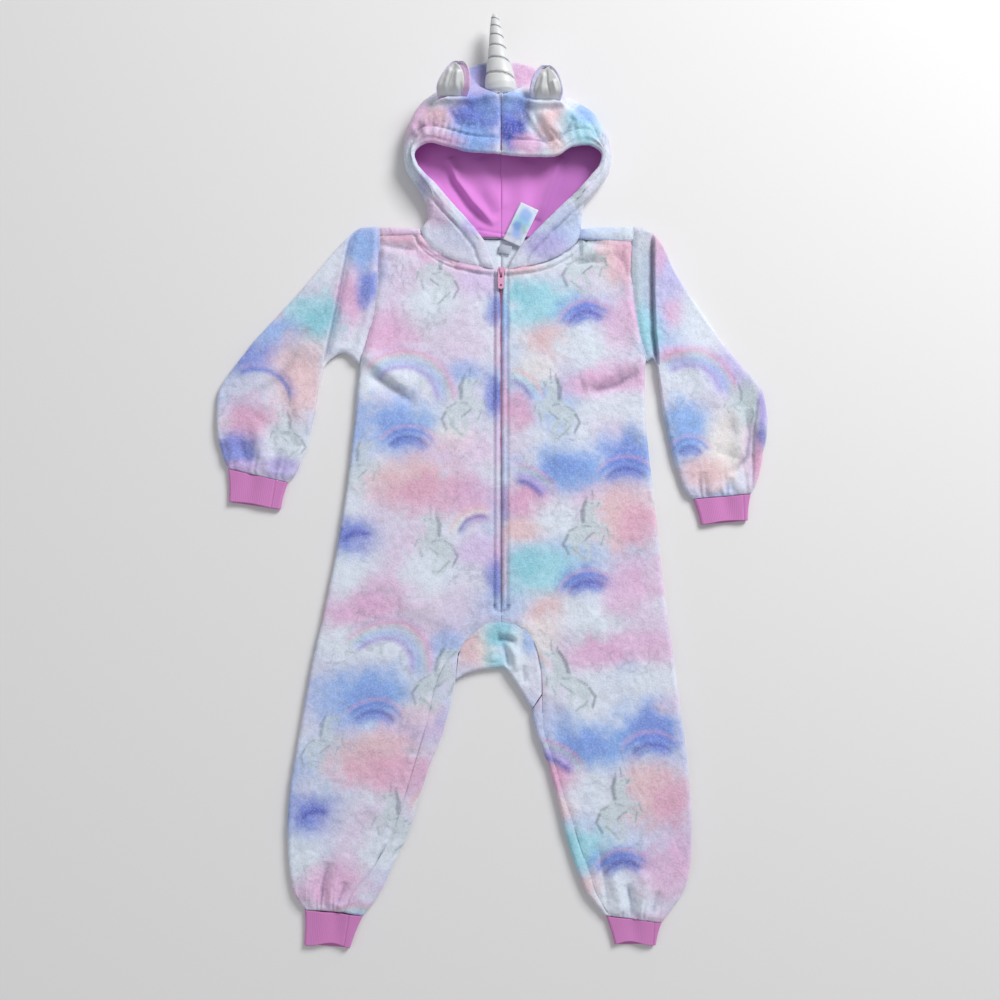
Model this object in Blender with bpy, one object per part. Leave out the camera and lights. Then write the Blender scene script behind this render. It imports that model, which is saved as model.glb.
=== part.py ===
"""A child's fleece unicorn onesie, lying flat on its back with the hood open.

+X is the wearer's left, +Y runs from the feet to the horn, +Z is up. The tables are in
millimetres: x from the middle of the zip, y from the lower edge of the ankle cuffs, z from
the floor. to_metres() moves everything so that the middle of the footprint is the origin, and
the objects themselves are in metres.
"""

import math
from collections import namedtuple

import bmesh
import bpy
import numpy as np
from mathutils import Matrix

MM = 0.001

# Cloth and seams
FLEECE = 3.2        # wall of the coral fleece, pile included
RIB = 1.8           # wall of a cuff: rib knit folded double
JERSEY = 1.0        # hood lining
SATIN = 1.0         # inner ears and labels
HALF_GAP = 0.45     # half the gap that is left at a seam
EDGE = 5.0          # radius of a turned side, so a flat tube is twice this high
HEM_EDGE = 4.1      # the same radius where fleece meets a cuff
CUFF_EDGE = 3.1     # and on the cuff itself
SAG = 1.2           # how far the middle of a panel lies below its turned sides
LIE_OVER = 35.0     # distance from a side over which that happens

# Middle of the footprint, in the tables' millimetres
CENTRE_X = -12.0
CENTRE_Y = 550.0

# Neck and shoulders
NECK_HALF = 96.0    # from the middle to the neck point of a shoulder
SHOULDER_Y = 842.0
FRONT_DROP = 49.0   # depth of the neckline below the shoulders, front and back
BACK_DROP = 12.0
ZIP_MOUTH = 6.0     # half the opening at the top of the zip
ZIP_PARTING = 1.4   # half the parting between the two fronts over the teeth
ZIP_TOP = 793.0
ZIP_FOOT = 388.0
BACK_SEAM = 0.0

Side = namedtuple("Side", "sign tip pit bow shoulder_roll side_seam inseam hem")
Line = namedtuple("Line", "y x")
Inseam = namedtuple("Inseam", "x_edge y_edge x_seam y_seam")
Gusset = namedtuple("Gusset", "x_top y_top x_edge y_edge x_low y_low")
SleeveRow = namedtuple("SleeveRow", "x_up y_up x_low y_low bow edge")
HoodRow = namedtuple("HoodRow", "y_back x_side y_side edge ridge late z_ridge x_end y_end z_end")
Fold = namedtuple("Fold", "x0 y0 x1 y1 height width")

# The wearer's right side, then the left. side_seam is the silhouette of body and leg. inseam
# pairs points of the leg's inner silhouette with points of the seam, which is rolled on to
# the front. tip and pit are the two ends of the armhole seam.
RIGHT = Side(
    sign=-1, tip=(-147.0, 844.0), pit=(-168.0, 676.0), bow=8.0, shoulder_roll=12.0,
    side_seam=(Line(676, -168), Line(634, -171), Line(574, -177), Line(515, -184),
               Line(456, -193), Line(398, -204), Line(340, -217), Line(294, -226),
               Line(248, -233), Line(208, -240), Line(168, -245), Line(129, -246),
               Line(84, -243), Line(58, -236), Line(46, -226)),
    inseam=(Inseam(-53, 303, -50, 336), Inseam(-56, 290, -64, 325),
            Inseam(-60, 272, -76, 300), Inseam(-68, 242, -86, 256),
            Inseam(-82, 208, -99, 211), Inseam(-94, 172, -111, 172),
            Inseam(-110, 123, -128, 124), Inseam(-127, 87, -148, 90),
            Inseam(-143, 56, -171, 62), Inseam(-158, 38, -179, 42)),
    hem=(-225.0, 45.0),
)
LEFT = Side(
    sign=1, tip=(160.0, 845.0), pit=(174.0, 680.0), bow=-9.0, shoulder_roll=20.0,
    side_seam=(Line(680, 173), Line(650, 170), Line(604, 172), Line(556, 176),
               Line(515, 181), Line(456, 186), Line(392, 193), Line(340, 200),
               Line(282, 207), Line(236, 213), Line(197, 217), Line(151, 220),
               Line(118, 220), Line(73, 213), Line(48, 201), Line(32, 185)),
    inseam=(Inseam(36, 271, 48, 288), Inseam(39, 251, 48, 255),
            Inseam(46, 230, 54, 231), Inseam(56, 204, 63, 205),
            Inseam(65, 168, 73, 169), Inseam(74, 130, 86, 132),
            Inseam(85, 95, 97, 98), Inseam(99, 62, 109, 65),
            Inseam(118, 39, 125, 38)),
    hem=(184.0, 30.0),
)

# Where each row of a front or back starts on its neckline and on its armhole, as shares
NECK_STEPS = (0.30, 0.50, 0.70, 0.87)
ARM_STEPS = (0.20, 0.38, 0.55, 0.72, 0.86, 0.96)
# Rows down the zip or the back seam, and the height on the side seam that each runs to
ZIP_ROWS = (793, 768, 742, 690, 630, 570, 510, 450, 402)
SIDE_ROWS = (660, 618, 570, 520, 472, 426, 386)
RIGHT_LEG_ROWS = (358, 347, 336, 325, 313, 299, 280, 250, 214, 174, 130, 94, 66)
LEFT_LEG_ROWS = (358, 345, 332, 317, 301, 284, 262, 240, 214, 178, 142, 108, 72)

# Crotch gusset from the right leg to the left: its seam with the fronts, its turned edge and
# its seam with the backs
GUSSET = (
    Gusset(-49, 334, -52, 305, -57, 306), Gusset(-46, 343, -43, 311, -46, 337),
    Gusset(-35, 357, -29, 315, -35, 357), Gusset(-19, 369, -12, 318, -19, 369),
    Gusset(0, 374, 3, 319, 0, 374), Gusset(18, 369, 12, 309, 18, 369),
    Gusset(34, 356, 19, 298, 34, 356), Gusset(43, 336, 25, 288, 43, 336),
    Gusset(47, 312, 30, 280, 44, 300), Gusset(47, 290, 35, 273, 42, 272),
)
GUSSET_MIDDLE = 4

# Sleeves from the armhole to the cuff: upper edge, underarm edge, bow of the row
RIGHT_SLEEVE = (
    SleeveRow(-147, 844, -168, 676, 8, EDGE), SleeveRow(-166, 844, -188, 691, 7, EDGE),
    SleeveRow(-184, 831, -208, 678, 5, EDGE), SleeveRow(-217, 793, -214, 660, 2, EDGE),
    SleeveRow(-252, 752, -217, 644, 0, EDGE), SleeveRow(-284, 717, -219, 626, 0, EDGE),
    SleeveRow(-313, 680, -224, 604, 0, EDGE), SleeveRow(-336, 642, -230, 580, 0, EDGE),
    SleeveRow(-338, 606, -237, 558, 0, EDGE), SleeveRow(-331, 573, -245, 543, 0, 4.7),
    SleeveRow(-323, 552, -252, 536, 0, HEM_EDGE),
)
LEFT_SLEEVE = (
    SleeveRow(160, 845, 174, 680, -9, EDGE), SleeveRow(176, 841, 180, 684, -8, EDGE),
    SleeveRow(191, 826, 186, 675, -5, EDGE), SleeveRow(208, 790, 188, 659, -2, EDGE),
    SleeveRow(232, 752, 190, 641, 0, EDGE), SleeveRow(260, 710, 192, 621, 0, EDGE),
    SleeveRow(287, 673, 196, 602, 0, EDGE), SleeveRow(312, 641, 201, 579, 0, EDGE),
    SleeveRow(316, 606, 207, 555, 0, EDGE), SleeveRow(308, 560, 214, 534, 0, EDGE),
    SleeveRow(301, 532, 220, 522, 0, 4.7), SleeveRow(295, 522, 227, 516, 0, HEM_EDGE),
)
# Cuffs: the two corners at the seam and the two at the free edge
CUFFS = {
    "cuff_wrist_right": ((-323, 552), (-252, 536), (-260, 504), (-321, 513)),
    "cuff_wrist_left": ((295, 522), (227, 516), (236, 486), (291, 491)),
    "cuff_ankle_right": ((-158, 38), (-225, 45), (-225, 5), (-173, 1)),
    "cuff_ankle_left": ((120, 38), (184, 30), (177, 5), (130, 5)),
}

# The two halves of the hood from the neck to the top of the head. A row runs from the back
# seam on the floor, round the side, over the ridge at a share of the way, to its end: on the
# face opening at first, and from the twelfth row on at the front seam. late is how steeply
# the row climbs to its ridge.
RIGHT_HOOD = (
    HoodRow(846, -88, 855, 6.5, 0.5, 1.0, 14, -20, 826, 13),
    HoodRow(858, -89, 863, 8.0, 0.5, 1.0, 18, -40, 851, 16),
    HoodRow(870, -90, 871, 9.5, 0.5, 1.0, 21, -59, 871, 20),
    HoodRow(884, -94, 881, 11.0, 0.6, 1.0, 23, -78, 892, 23),
    HoodRow(898, -104, 896, 11.2, 0.8, 1.0, 24, -91, 905, 24),
    HoodRow(912, -114, 913, 11.5, 0.9, 1.0, 25, -100, 917, 25),
    HoodRow(926, -117, 930, 11.8, 0.9, 1.0, 27, -103, 927, 27),
    HoodRow(940, -116, 947, 12.6, 0.7, 1.0, 30, -97, 935, 29),
    HoodRow(954, -111, 965, 14.0, 0.5, 1.0, 34, -84, 939, 32),
    HoodRow(966, -103, 984, 14.0, 0.3, 1.0, 36, -64, 934, 33),
    HoodRow(976, -93, 997, 13.0, 0.18, 1.0, 37, -35, 926.5, 34),
    HoodRow(986, -80, 1007, 11.5, 0.13, 1.0, 38, -HALF_GAP, 924, 34),
    HoodRow(996, -69, 1017, 10.0, 0.27, 1.0, 38, -HALF_GAP, 942, 36),
    HoodRow(1004, -58, 1027, 9.0, 0.48, 1.1, 38, -HALF_GAP, 961, 37),
    HoodRow(1012, -47, 1036, 8.0, 0.73, 1.5, 38, -HALF_GAP, 977, 38),
    HoodRow(1019, -34, 1043, 6.5, 0.97, 8.0, 37, -HALF_GAP, 989, 37),
    HoodRow(1026, -18, 1049, 5.2, 0.97, 1.0, 10.8, -HALF_GAP, 997, 11),
    HoodRow(1033, -HALF_GAP, 1052, 5.0, 0.97, 1.0, 10, -HALF_GAP, 1036, 10),
)
LEFT_HOOD = (
    HoodRow(846, 97, 853, 6.5, 0.5, 1.0, 14, 24, 820, 13),
    HoodRow(858, 98, 860, 8.0, 0.5, 1.0, 18, 47, 843, 16),
    HoodRow(870, 99, 868, 9.5, 0.5, 1.0, 21, 70, 865, 20),
    HoodRow(884, 107, 878, 11.0, 0.6, 1.0, 23, 92, 885, 23),
    HoodRow(898, 120, 893, 11.0, 0.8, 1.0, 24, 107, 902, 24),
    HoodRow(912, 130, 909, 11.2, 0.9, 1.0, 25, 117, 914, 25),
    HoodRow(926, 133, 926, 11.4, 0.9, 1.0, 27, 120, 925, 27),
    HoodRow(940, 131, 943, 12.6, 0.7, 1.0, 30, 114, 933, 29),
    HoodRow(954, 124, 961, 14.0, 0.5, 1.0, 34, 101, 936, 32),
    HoodRow(966, 113, 979, 14.0, 0.3, 1.0, 36, 84, 933, 33),
    HoodRow(976, 99, 990, 13.5, 0.18, 1.0, 37, 60, 920.5, 34),
    HoodRow(986, 84, 999, 13.0, 0.10, 1.0, 38, HALF_GAP, 924, 34),
    HoodRow(996, 71, 1011, 10.0, 0.22, 1.0, 38, HALF_GAP, 942, 36),
    HoodRow(1004, 60, 1023, 9.0, 0.46, 1.1, 38, HALF_GAP, 961, 37),
    HoodRow(1012, 48, 1035, 8.0, 0.72, 1.5, 38, HALF_GAP, 977, 38),
    HoodRow(1019, 36, 1043, 6.5, 0.97, 8.0, 37, HALF_GAP, 989, 37),
    HoodRow(1026, 19, 1049, 5.2, 0.97, 1.0, 10.8, HALF_GAP, 997, 11),
    HoodRow(1033, HALF_GAP, 1052, 5.0, 0.97, 1.0, 10, HALF_GAP, 1036, 10),
)
LINING_GAP = 0.7
LINING_SHORT = 4.0        # how far the lining stops short of the hood's edge
LINING_START = 0.12       # share of the first row that it leaves free at the neck seam

# Largest folds of the upper layer: soft ridges from one point to the other
FOLDS = (
    Fold(-150, 690, -108, 648, 4.5, 16), Fold(160, 690, 118, 660, 4.0, 15),
    Fold(-206, 690, -214, 800, 4.0, 16), Fold(198, 690, 196, 800, 4.5, 16),
    Fold(-252, 640, -238, 575, 3.0, 15), Fold(262, 640, 290, 570, 3.5, 16),
    Fold(20, 300, 30, 340, 3.0, 12), Fold(-190, 120, -168, 62, 3.0, 14),
    Fold(160, 90, 152, 50, 3.0, 12), Fold(-90, 800, -130, 812, 2.5, 14),
)

Tint = namedtuple("Tint", "colour roughness metallic")
FINISHES = {
    "fleece": Tint((0.80, 0.72, 0.84), 0.95, 0.0),
    "rib": Tint((0.80, 0.36, 0.66), 0.85, 0.0),
    "jersey": Tint((0.84, 0.42, 0.80), 0.85, 0.0),
    "satin": Tint((0.82, 0.83, 0.80), 0.35, 0.0),
    "zip": Tint((0.85, 0.42, 0.66), 0.40, 0.0),
    "label": Tint((0.88, 0.92, 0.95), 0.45, 0.0),
}


def finish(name):
    """The plain material of one kind of cloth or trim."""
    material = bpy.data.materials.get(name)
    if material is None:
        tint = FINISHES[name]
        material = bpy.data.materials.new(name)
        material.use_nodes = True
        shader = material.node_tree.nodes["Principled BSDF"]
        shader.inputs["Base Color"].default_value = (*tint.colour, 1.0)
        shader.inputs["Roughness"].default_value = tint.roughness
        shader.inputs["Metallic"].default_value = tint.metallic
    return material


def to_metres(points):
    """Table millimetres to metres about the middle of the footprint."""
    return (np.asarray(points, float) - (CENTRE_X, CENTRE_Y, 0.0)) * MM


def add_object(name, mesh, material):
    """Links a mesh as one named piece with its finish."""
    mesh.materials.append(finish(material))
    piece = bpy.data.objects.new(name, mesh)
    bpy.context.scene.collection.objects.link(piece)
    return piece


def closed_mesh(name, vertices, faces):
    """A mesh whose faces all point out."""
    mesh = bpy.data.meshes.new(name)
    mesh.from_pydata([tuple(v) for v in to_metres(vertices)], [], faces)
    solid = bmesh.new()
    solid.from_mesh(mesh)
    bmesh.ops.recalc_face_normals(solid, faces=solid.faces)
    solid.to_mesh(mesh)
    solid.free()
    mesh.shade_smooth()
    mesh.set_sharp_from_angle(angle=math.radians(50))
    return mesh


def shell(name, outer, inner, material, tube=False):
    """A wall of cloth between two grids of points, row by row; tube joins the last column to
    the first. A cell with no point at a corner is left open."""
    rows, columns = outer.shape[:2]
    cells = []
    for row in range(rows - 1):
        for column in range(columns if tube else columns - 1):
            after = (column + 1) % columns
            corners = [(row, column), (row, after), (row + 1, after), (row + 1, column)]
            if not any(np.isnan(outer[corner]).any() for corner in corners):
                cells.append(corners)
    sides = [(cell[k], cell[(k + 1) % 4]) for cell in cells for k in range(4)]
    rim = set(sides) - {(b, a) for a, b in sides}
    number = {corner: k for k, corner in enumerate(sorted({c for cell in cells for c in cell}))}
    half = len(number)
    faces = []
    for cell in cells:
        a, b, c, d = (number[corner] for corner in cell)
        for triangle in ((a, b, c), (a, c, d)):
            faces += [triangle, [half + corner for corner in reversed(triangle)]]
    faces += [[number[b], number[a], half + number[a], half + number[b]] for a, b in rim]
    vertices = [grid[corner] for grid in (outer, inner) for corner in number]
    return add_object(name, closed_mesh(name, vertices, faces), material)


def side_x(side, y):
    """x of a side seam's silhouette at a height."""
    table = side.side_seam[::-1]
    return float(np.interp(y, [row.y for row in table], [row.x for row in table]))


def fold_height(x, y):
    """How far the upper layer rises above its flat lie in the folds."""
    height = 0.0
    for fold in FOLDS:
        start = np.array([fold.x0, fold.y0])
        run = np.array([fold.x1, fold.y1]) - start
        share = np.clip(((x - start[0]) * run[0] + (y - start[1]) * run[1]) / (run @ run), 0, 1)
        away = math.hypot(x - start[0] - share * run[0], y - start[1] - share * run[1])
        height += fold.height * math.exp(-(away / fold.width) ** 2)
    return height


def lie(x, y, inward):
    """Height that the upper layer gains or loses this far in from a turned side."""
    share = min(1.0, max(0.0, inward - EDGE) / LIE_OVER)
    return (fold_height(x, y) - SAG) * share * share * (3 - 2 * share)


def turned(path, radius, wall):
    """(distance in, height) of the outer and of the inner face at a length of path round a
    turned side: 0 is its outermost line, positive lengths go over the top."""
    angle = min(max(path / radius, -math.pi / 2), math.pi / 2)
    beyond = max(0.0, abs(path) - math.pi / 2 * radius)
    faces = []
    for r in (radius, radius - wall):
        faces.append((radius - r * math.cos(angle) + beyond, radius + r * math.sin(angle)))
    return faces


def quarter(radius):
    """Path length from the outermost line to where the cloth lies flat."""
    return math.pi / 2 * radius


# ---- body ----------------------------------------------------------------------------


def armhole(side, share, grow=0.0):
    """A point of the armhole seam from the shoulder tip to the underarm, moved out by grow."""
    tip, pit = np.array(side.tip), np.array(side.pit)
    chord = pit - tip
    normal = np.array([-chord[1], chord[0]]) / np.linalg.norm(chord)
    bow = side.bow * 4 * share * (1 - share)
    point = tip + chord * share + normal * bow
    return point + np.array([side.sign * grow, 0.0])


def armhole_length(side):
    return math.dist(side.tip, side.pit)


def neckline(side, inward, drop, grow=0.0):
    """A point of the neckline this far along it from the neck point of the shoulder."""
    quarter_turn = math.pi / 2 * math.sqrt((NECK_HALF ** 2 + drop ** 2) / 2)
    angle = min(1.0, inward / quarter_turn) * math.pi / 2
    return np.array([side.sign * (NECK_HALF + grow) * math.cos(angle),
                     SHOULDER_Y - (drop + grow) * math.sin(angle)])


def neck_length(drop):
    return math.pi / 2 * math.sqrt((NECK_HALF ** 2 + drop ** 2) / 2)


Row = namedtuple("Row", "start seam end end_turned edge")


def leg_rows(side, upper):
    """Rows from the top of the gusset to the ankle."""
    own = GUSSET[1:GUSSET_MIDDLE + 1][::-1] if side.sign < 0 else GUSSET[GUSSET_MIDDLE:-1]
    ends = [(side_x(side, y), y) for y in
            (RIGHT_LEG_ROWS if side.sign < 0 else LEFT_LEG_ROWS)] + [side.hem]
    if upper:
        starts = [((g.x_top, g.y_top), None) for g in own]
        starts += [((i.x_seam, i.y_seam), None) for i in side.inseam]
    else:
        starts = [((g.x_low, g.y_low), None) for g in own]
        starts += [((i.x_edge, i.y_edge), (i.x_seam, i.y_seam)) for i in side.inseam]
    rows = [Row(start, seam, end, True, EDGE) for (start, seam), end in zip(starts, ends)]
    return rows[:-1] + [rows[-1]._replace(edge=HEM_EDGE)]


def panel_rows(side, upper, parting, first_step):
    """Rows of a front (upper) or back from below the shoulder to the ankle. parting is how
    far a row's inner end stays from the middle: at the neck, at the slider and below it."""
    drop = FRONT_DROP if upper else BACK_DROP
    rows = [Row(neckline(side, first_step, drop, HALF_GAP), None,
                armhole(side, first_step / armhole_length(side)), False, EDGE)]
    rows += [Row(neckline(side, neck * neck_length(drop), drop, HALF_GAP), None,
                 armhole(side, arm), False, EDGE) for neck, arm in zip(NECK_STEPS, ARM_STEPS)]
    middles = [(side.sign * parting[0], SHOULDER_Y - drop - HALF_GAP),
               (side.sign * parting[1], ZIP_ROWS[1])]
    rows += [Row(middle, None, armhole(side, arm), False, EDGE)
             for middle, arm in zip(middles, ARM_STEPS[len(NECK_STEPS):])]
    rows += [Row((side.sign * parting[2], z), None, (side_x(side, y), y), True, EDGE)
             for z, y in zip(ZIP_ROWS[2:], SIDE_ROWS)]
    return rows + leg_rows(side, upper)


FLAT_STEPS = 3       # columns across the flat of a panel
CUT_STEPS = (12.0, 5.0, 0.0)
WRAP_TURNS = (1.0, 0.5, 0.0, -0.5)


def row_points(row, upper, face):
    """Points of one panel row: round the inner side if it is wrapped, across, and to the
    side seam or the armhole."""
    start, end = np.array(row.start, float), np.array(row.end, float)
    length = np.linalg.norm(end - start)
    inward = (end - start) / length
    way = 1 if upper else -1
    level = turned(way * quarter(row.edge), row.edge, FLEECE)[face][1]
    points = []
    if not upper:
        if row.seam is None:
            points += [(np.nan,) * 3] * (len(WRAP_TURNS) + 1)
        else:
            to_seam = np.array(row.seam, float) - start
            reach = np.linalg.norm(to_seam)
            paths = [quarter(row.edge) + reach - row.edge - HALF_GAP]
            paths += [turn * quarter(row.edge) for turn in WRAP_TURNS]
            for path in paths:
                distance, z = turned(path, row.edge, FLEECE)[face]
                along_row = to_seam / reach if path > 0 else inward
                points.append((*(start + along_row * distance), z))
    first = HALF_GAP if row.seam is None else row.edge + 1.0
    if row.end_turned:
        paths = (way * (quarter(row.edge) + 2.0), way * quarter(row.edge) * 0.5, way * HALF_GAP)
        last = [turned(path, row.edge, FLEECE)[face] for path in paths]
    else:
        last = [(HALF_GAP + step, level) for step in CUT_STEPS]
    stop = length - last[0][0]
    places = [(first + (stop - first) * k / (FLAT_STEPS + 1), level)
              for k in range(FLAT_STEPS + 1)]
    places += [(length - distance, z) for distance, z in last]
    edge_in = row.edge if row.seam is None else 0.0
    edge_out = 0.0 if row.end_turned else row.edge
    for distance, z in places:
        x, y = start + inward * distance
        if upper and z > row.edge:
            z += lie(x, y, min(distance + edge_in, length - distance + edge_out))
        points.append((x, y, z))
    return points


def shoulder_wrap(side, shares, face):
    """Rows of a back panel that turn over the shoulder on to the front, from the seam down."""
    start = quarter(EDGE) + side.shoulder_roll - EDGE - HALF_GAP
    paths = (start, quarter(EDGE), 0.45 * quarter(EDGE), -0.45 * quarter(EDGE), -quarter(EDGE))
    rows = []
    for path in paths:
        inward, z = turned(path, EDGE, FLEECE)[face]
        near = neckline(side, inward, FRONT_DROP if path > 0 else BACK_DROP, HALF_GAP)
        far = armhole(side, inward / armhole_length(side), -HALF_GAP)
        rows.append([(np.nan,) * 3] * (len(WRAP_TURNS) + 1)
                    + [(*(near + (far - near) * share), z) for share in shares])
    return rows


def build_body():
    """Two fronts, and two backs that turn over the shoulders and the inseams."""
    for side, word in ((RIGHT, "right"), (LEFT, "left")):
        rows = panel_rows(side, True, (ZIP_MOUTH, ZIP_PARTING + 2, ZIP_PARTING),
                          side.shoulder_roll + HALF_GAP)
        faces = [np.array([row_points(row, True, face) for row in rows]) for face in (0, 1)]
        shell(f"front_{word}", *faces, "fleece")
        rows = panel_rows(side, False, (BACK_SEAM,) * 3, 2 * EDGE)
        faces = []
        for face in (0, 1):
            grid = [row_points(row, False, face) for row in rows]
            first = np.array(grid[0])[len(WRAP_TURNS) + 1:, :2]
            gone = np.linalg.norm(first - first[0], axis=1)
            faces.append(np.array(shoulder_wrap(side, gone / gone[-1], face) + grid))
        shell(f"back_{word}", *faces, "fleece")


def build_gusset():
    """The crotch gusset, folded over its lower edge."""
    outer, inner = [], []
    for row in GUSSET:
        edge = np.array([row.x_edge, row.y_edge], float)
        tops = np.array([row.x_top, row.y_top], float) - edge
        lows = np.array([row.x_low, row.y_low], float) - edge
        reach, depth = np.linalg.norm(tops), np.linalg.norm(lows)
        top_path = quarter(EDGE) + reach - EDGE - HALF_GAP
        low_path = -quarter(EDGE) - depth + EDGE + HALF_GAP
        paths = (top_path, (top_path + quarter(EDGE)) / 2, quarter(EDGE), 0.5 * quarter(EDGE),
                 0.0, -0.5 * quarter(EDGE), max(-quarter(EDGE), 0.9 * low_path), low_path)
        for face, found in ((0, outer), (1, inner)):
            points = []
            for path in paths:
                distance, z = turned(path, EDGE, FLEECE)[face]
                way = tops / reach if path > 0 else lows / depth
                points.append((*(edge + way * distance), z))
            found.append(points)
    shell("gusset", np.array(outer), np.array(inner), "fleece")


# ---- sleeves and cuffs -----------------------------------------------------------------


TUBE_ARC = (-1.0, -0.5, 0.0, 0.5, 1.0)
TUBE_TOP = (0.33, 0.67)
TUBE_UNDER = (0.5,)


def tube_row(up, low, bow, radius, wall, level):
    """Outer and inner points of one closed row of a flat tube: from the upper edge over the
    top, then back underneath."""
    up, low = np.array(up, float), np.array(low, float)
    chord = low - up
    length = np.linalg.norm(chord)
    normal = np.array([-chord[1], chord[0]]) / length
    rows = []
    for face in (0, 1):
        turn = [turned(share * quarter(radius), radius, wall)[face] for share in TUBE_ARC]
        high, foot = turn[-1][1], turn[0][1]
        flat = length - 2 * radius
        places = turn + [(radius + flat * share, high) for share in TUBE_TOP]
        places += [(length - d, z) for d, z in reversed(turn)]
        places += [(length - radius - flat * share, foot) for share in TUBE_UNDER]
        found = []
        for distance, z in places:
            share = distance / length
            x, y = up + chord * share + normal * bow * 4 * share * (1 - share)
            if z > radius:
                z += level * lie(x, y, min(distance, length - distance))
            found.append((x, y, z))
        rows.append(found)
    return rows


def build_sleeve(name, side, table):
    """A sleeve: a closed tube from the armhole to its cuff."""
    outer, inner = [], []
    for index, row in enumerate(table):
        shift = side.sign * HALF_GAP if index == 0 else 0.0
        last = index == len(table) - 1
        level = 0.0 if last else 1.0
        faces = tube_row((row.x_up + shift, row.y_up), (row.x_low + shift, row.y_low),
                         row.bow, row.edge, FLEECE, level)
        outer.append(faces[0])
        inner.append(faces[1])
    shell(name, np.array(outer), np.array(inner), "fleece", tube=True)


def build_cuff(name, corners):
    """A rib cuff: a closed tube between its seam and its free edge."""
    up, low, free_low, free_up = (np.array(corner, float) for corner in corners)
    outer, inner = [], []
    lift = HEM_EDGE - CUFF_EDGE
    for share in (0.0, 0.5, 1.0):
        gap = (HALF_GAP * 2 / np.linalg.norm(free_up - up)) * (1 - share)
        a = up + (free_up - up) * (share + gap)
        b = low + (free_low - low) * (share + gap)
        faces = tube_row(a, b, 0.0, CUFF_EDGE, RIB, 0.0)
        height = np.array([0.0, 0.0, lift * (1 - share) ** 2 * 0.5])
        outer.append(np.array(faces[0]) + height)
        inner.append(np.array(faces[1]) + height)
    shell(name, np.array(outer), np.array(inner), "rib", tube=True)


# ---- hood ------------------------------------------------------------------------------

HOOD_ARC = (-1.0, -0.5, 0.0, 0.5, 1.0)
LINING_ARC = (-1.0, 0.0, 1.0)
HOOD_FLOOR = (0.0, 0.5)


def climb(share, row):
    """Height of a hood row's upper layer at a share of the way from its side to its end."""
    side = 2 * row.edge
    if share < row.ridge:
        t = (share / row.ridge) ** row.late
        return side + (row.z_ridge - side) * t * t * (3 - 2 * t)
    t = (share - row.ridge) / (1 - row.ridge)
    return row.z_ridge + (row.z_end - row.z_ridge) * t * t * (3 - 2 * t)


def hood_row(row, low, low_length, top, top_length, depth, arc, short):
    """One row of the hood, depth inside its outer face: along the floor, round the side and
    over to the row's end. low and top give the plan at a distance in from the side."""
    radius = row.edge
    points = [(*low(low_length - (low_length - radius) * share), depth) for share in HOOD_FLOOR]
    for share in arc:
        inward, z = turned(share * quarter(radius), radius, depth)[1]
        points.append((*(top if share > 0 else low)(inward), z))
    flat = top_length - radius
    for share in (0.5 * row.ridge, 0.8 * row.ridge, row.ridge, (1 + row.ridge) / 2, 1.0):
        reached = min(share, max(1 - short / flat, 0.3 + 0.2 * share))
        points.append((*top(radius + flat * reached), climb(reached, row) - depth))
    return points


def straight(start, end):
    """The line from one point to the other by distance, and its length."""
    run = end - start
    length = np.linalg.norm(run)
    return (lambda distance: start + run / length * distance), length


def hood_grid(side, table, depth, arc=HOOD_ARC, short=0.0):
    """Grid of one half of the hood, depth inside its outer face."""
    def low(distance):
        return neckline(side, distance, BACK_DROP, -HALF_GAP)

    def top(distance):
        return neckline(side, distance, FRONT_DROP, -HALF_GAP)

    neck = HoodRow(0, 0, 0, EDGE, 0.5, 1.0, 2 * EDGE, 0, 0, 2 * EDGE)
    low_length = neck_length(BACK_DROP) - HALF_GAP
    rows = [hood_row(neck, low, low_length, top, neck_length(FRONT_DROP) - ZIP_MOUTH, depth,
                     arc, 0.0)]
    for row in table:
        edge = np.array([row.x_side, row.y_side], float)
        floor = straight(edge, np.array([side.sign * HALF_GAP, row.y_back]))
        over = straight(edge, np.array([row.x_end, row.y_end], float))
        end_short = short if abs(row.x_end) > HALF_GAP else 0.0
        rows.append(hood_row(row, *floor, *over, depth, arc, end_short))
    return np.array(rows)


def build_hood():
    """Hood halves of fleece and, inside them, the two halves of the lining."""
    for side, table, word in ((RIGHT, RIGHT_HOOD, "right"), (LEFT, LEFT_HOOD, "left")):
        shell(f"hood_{word}", hood_grid(side, table, 0.0), hood_grid(side, table, FLEECE),
              "fleece")
        depth = FLEECE + LINING_GAP
        lining = [hood_grid(side, table, d, LINING_ARC, LINING_SHORT)
                  for d in (depth, depth + JERSEY)]
        for grid in lining:
            grid[0] += (grid[1] - grid[0]) * LINING_START
        shell(f"lining_{word}", *lining, "jersey")


# ---- ears and horn ---------------------------------------------------------------------

Ear = namedtuple("Ear", "x y z width length rise lean")
EARS = {
    "right": Ear(-58.5, 989.5, 42.2, 41, 37, 12, 9),
    "left": Ear(53.5, 985, 42.2, 41, 36, 12, -0.5),
}
EAR_ROWS = (0.0, 0.3, 0.6, 0.85, 1.0)
EAR_COLUMNS = (-1.0, -0.55, 0.0, 0.55, 1.0)
EAR_CUP = 4.0
EAR_RIM = 3.5        # how much smaller the satin is than the fleece behind it


def ear_grid(ear, lift, shrink):
    """A leaf-shaped ear, cupped, from its base to its tip."""
    rows = []
    for v in EAR_ROWS:
        half = ear.width / 2 * math.sqrt(max(0.0, 1 - (v * 0.97) ** 2.6)) - shrink
        half = max(half, 3.0)
        row = []
        for u in EAR_COLUMNS:
            up = (shrink / 2 + (ear.length - shrink) * v) / ear.length
            row.append((ear.x + ear.lean * up + half * u, ear.y + ear.length * up,
                        ear.z + lift + ear.rise * up
                        + EAR_CUP * up * (half * u / (ear.width / 2)) ** 2))
        rows.append(row)
    return np.array(rows)


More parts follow.
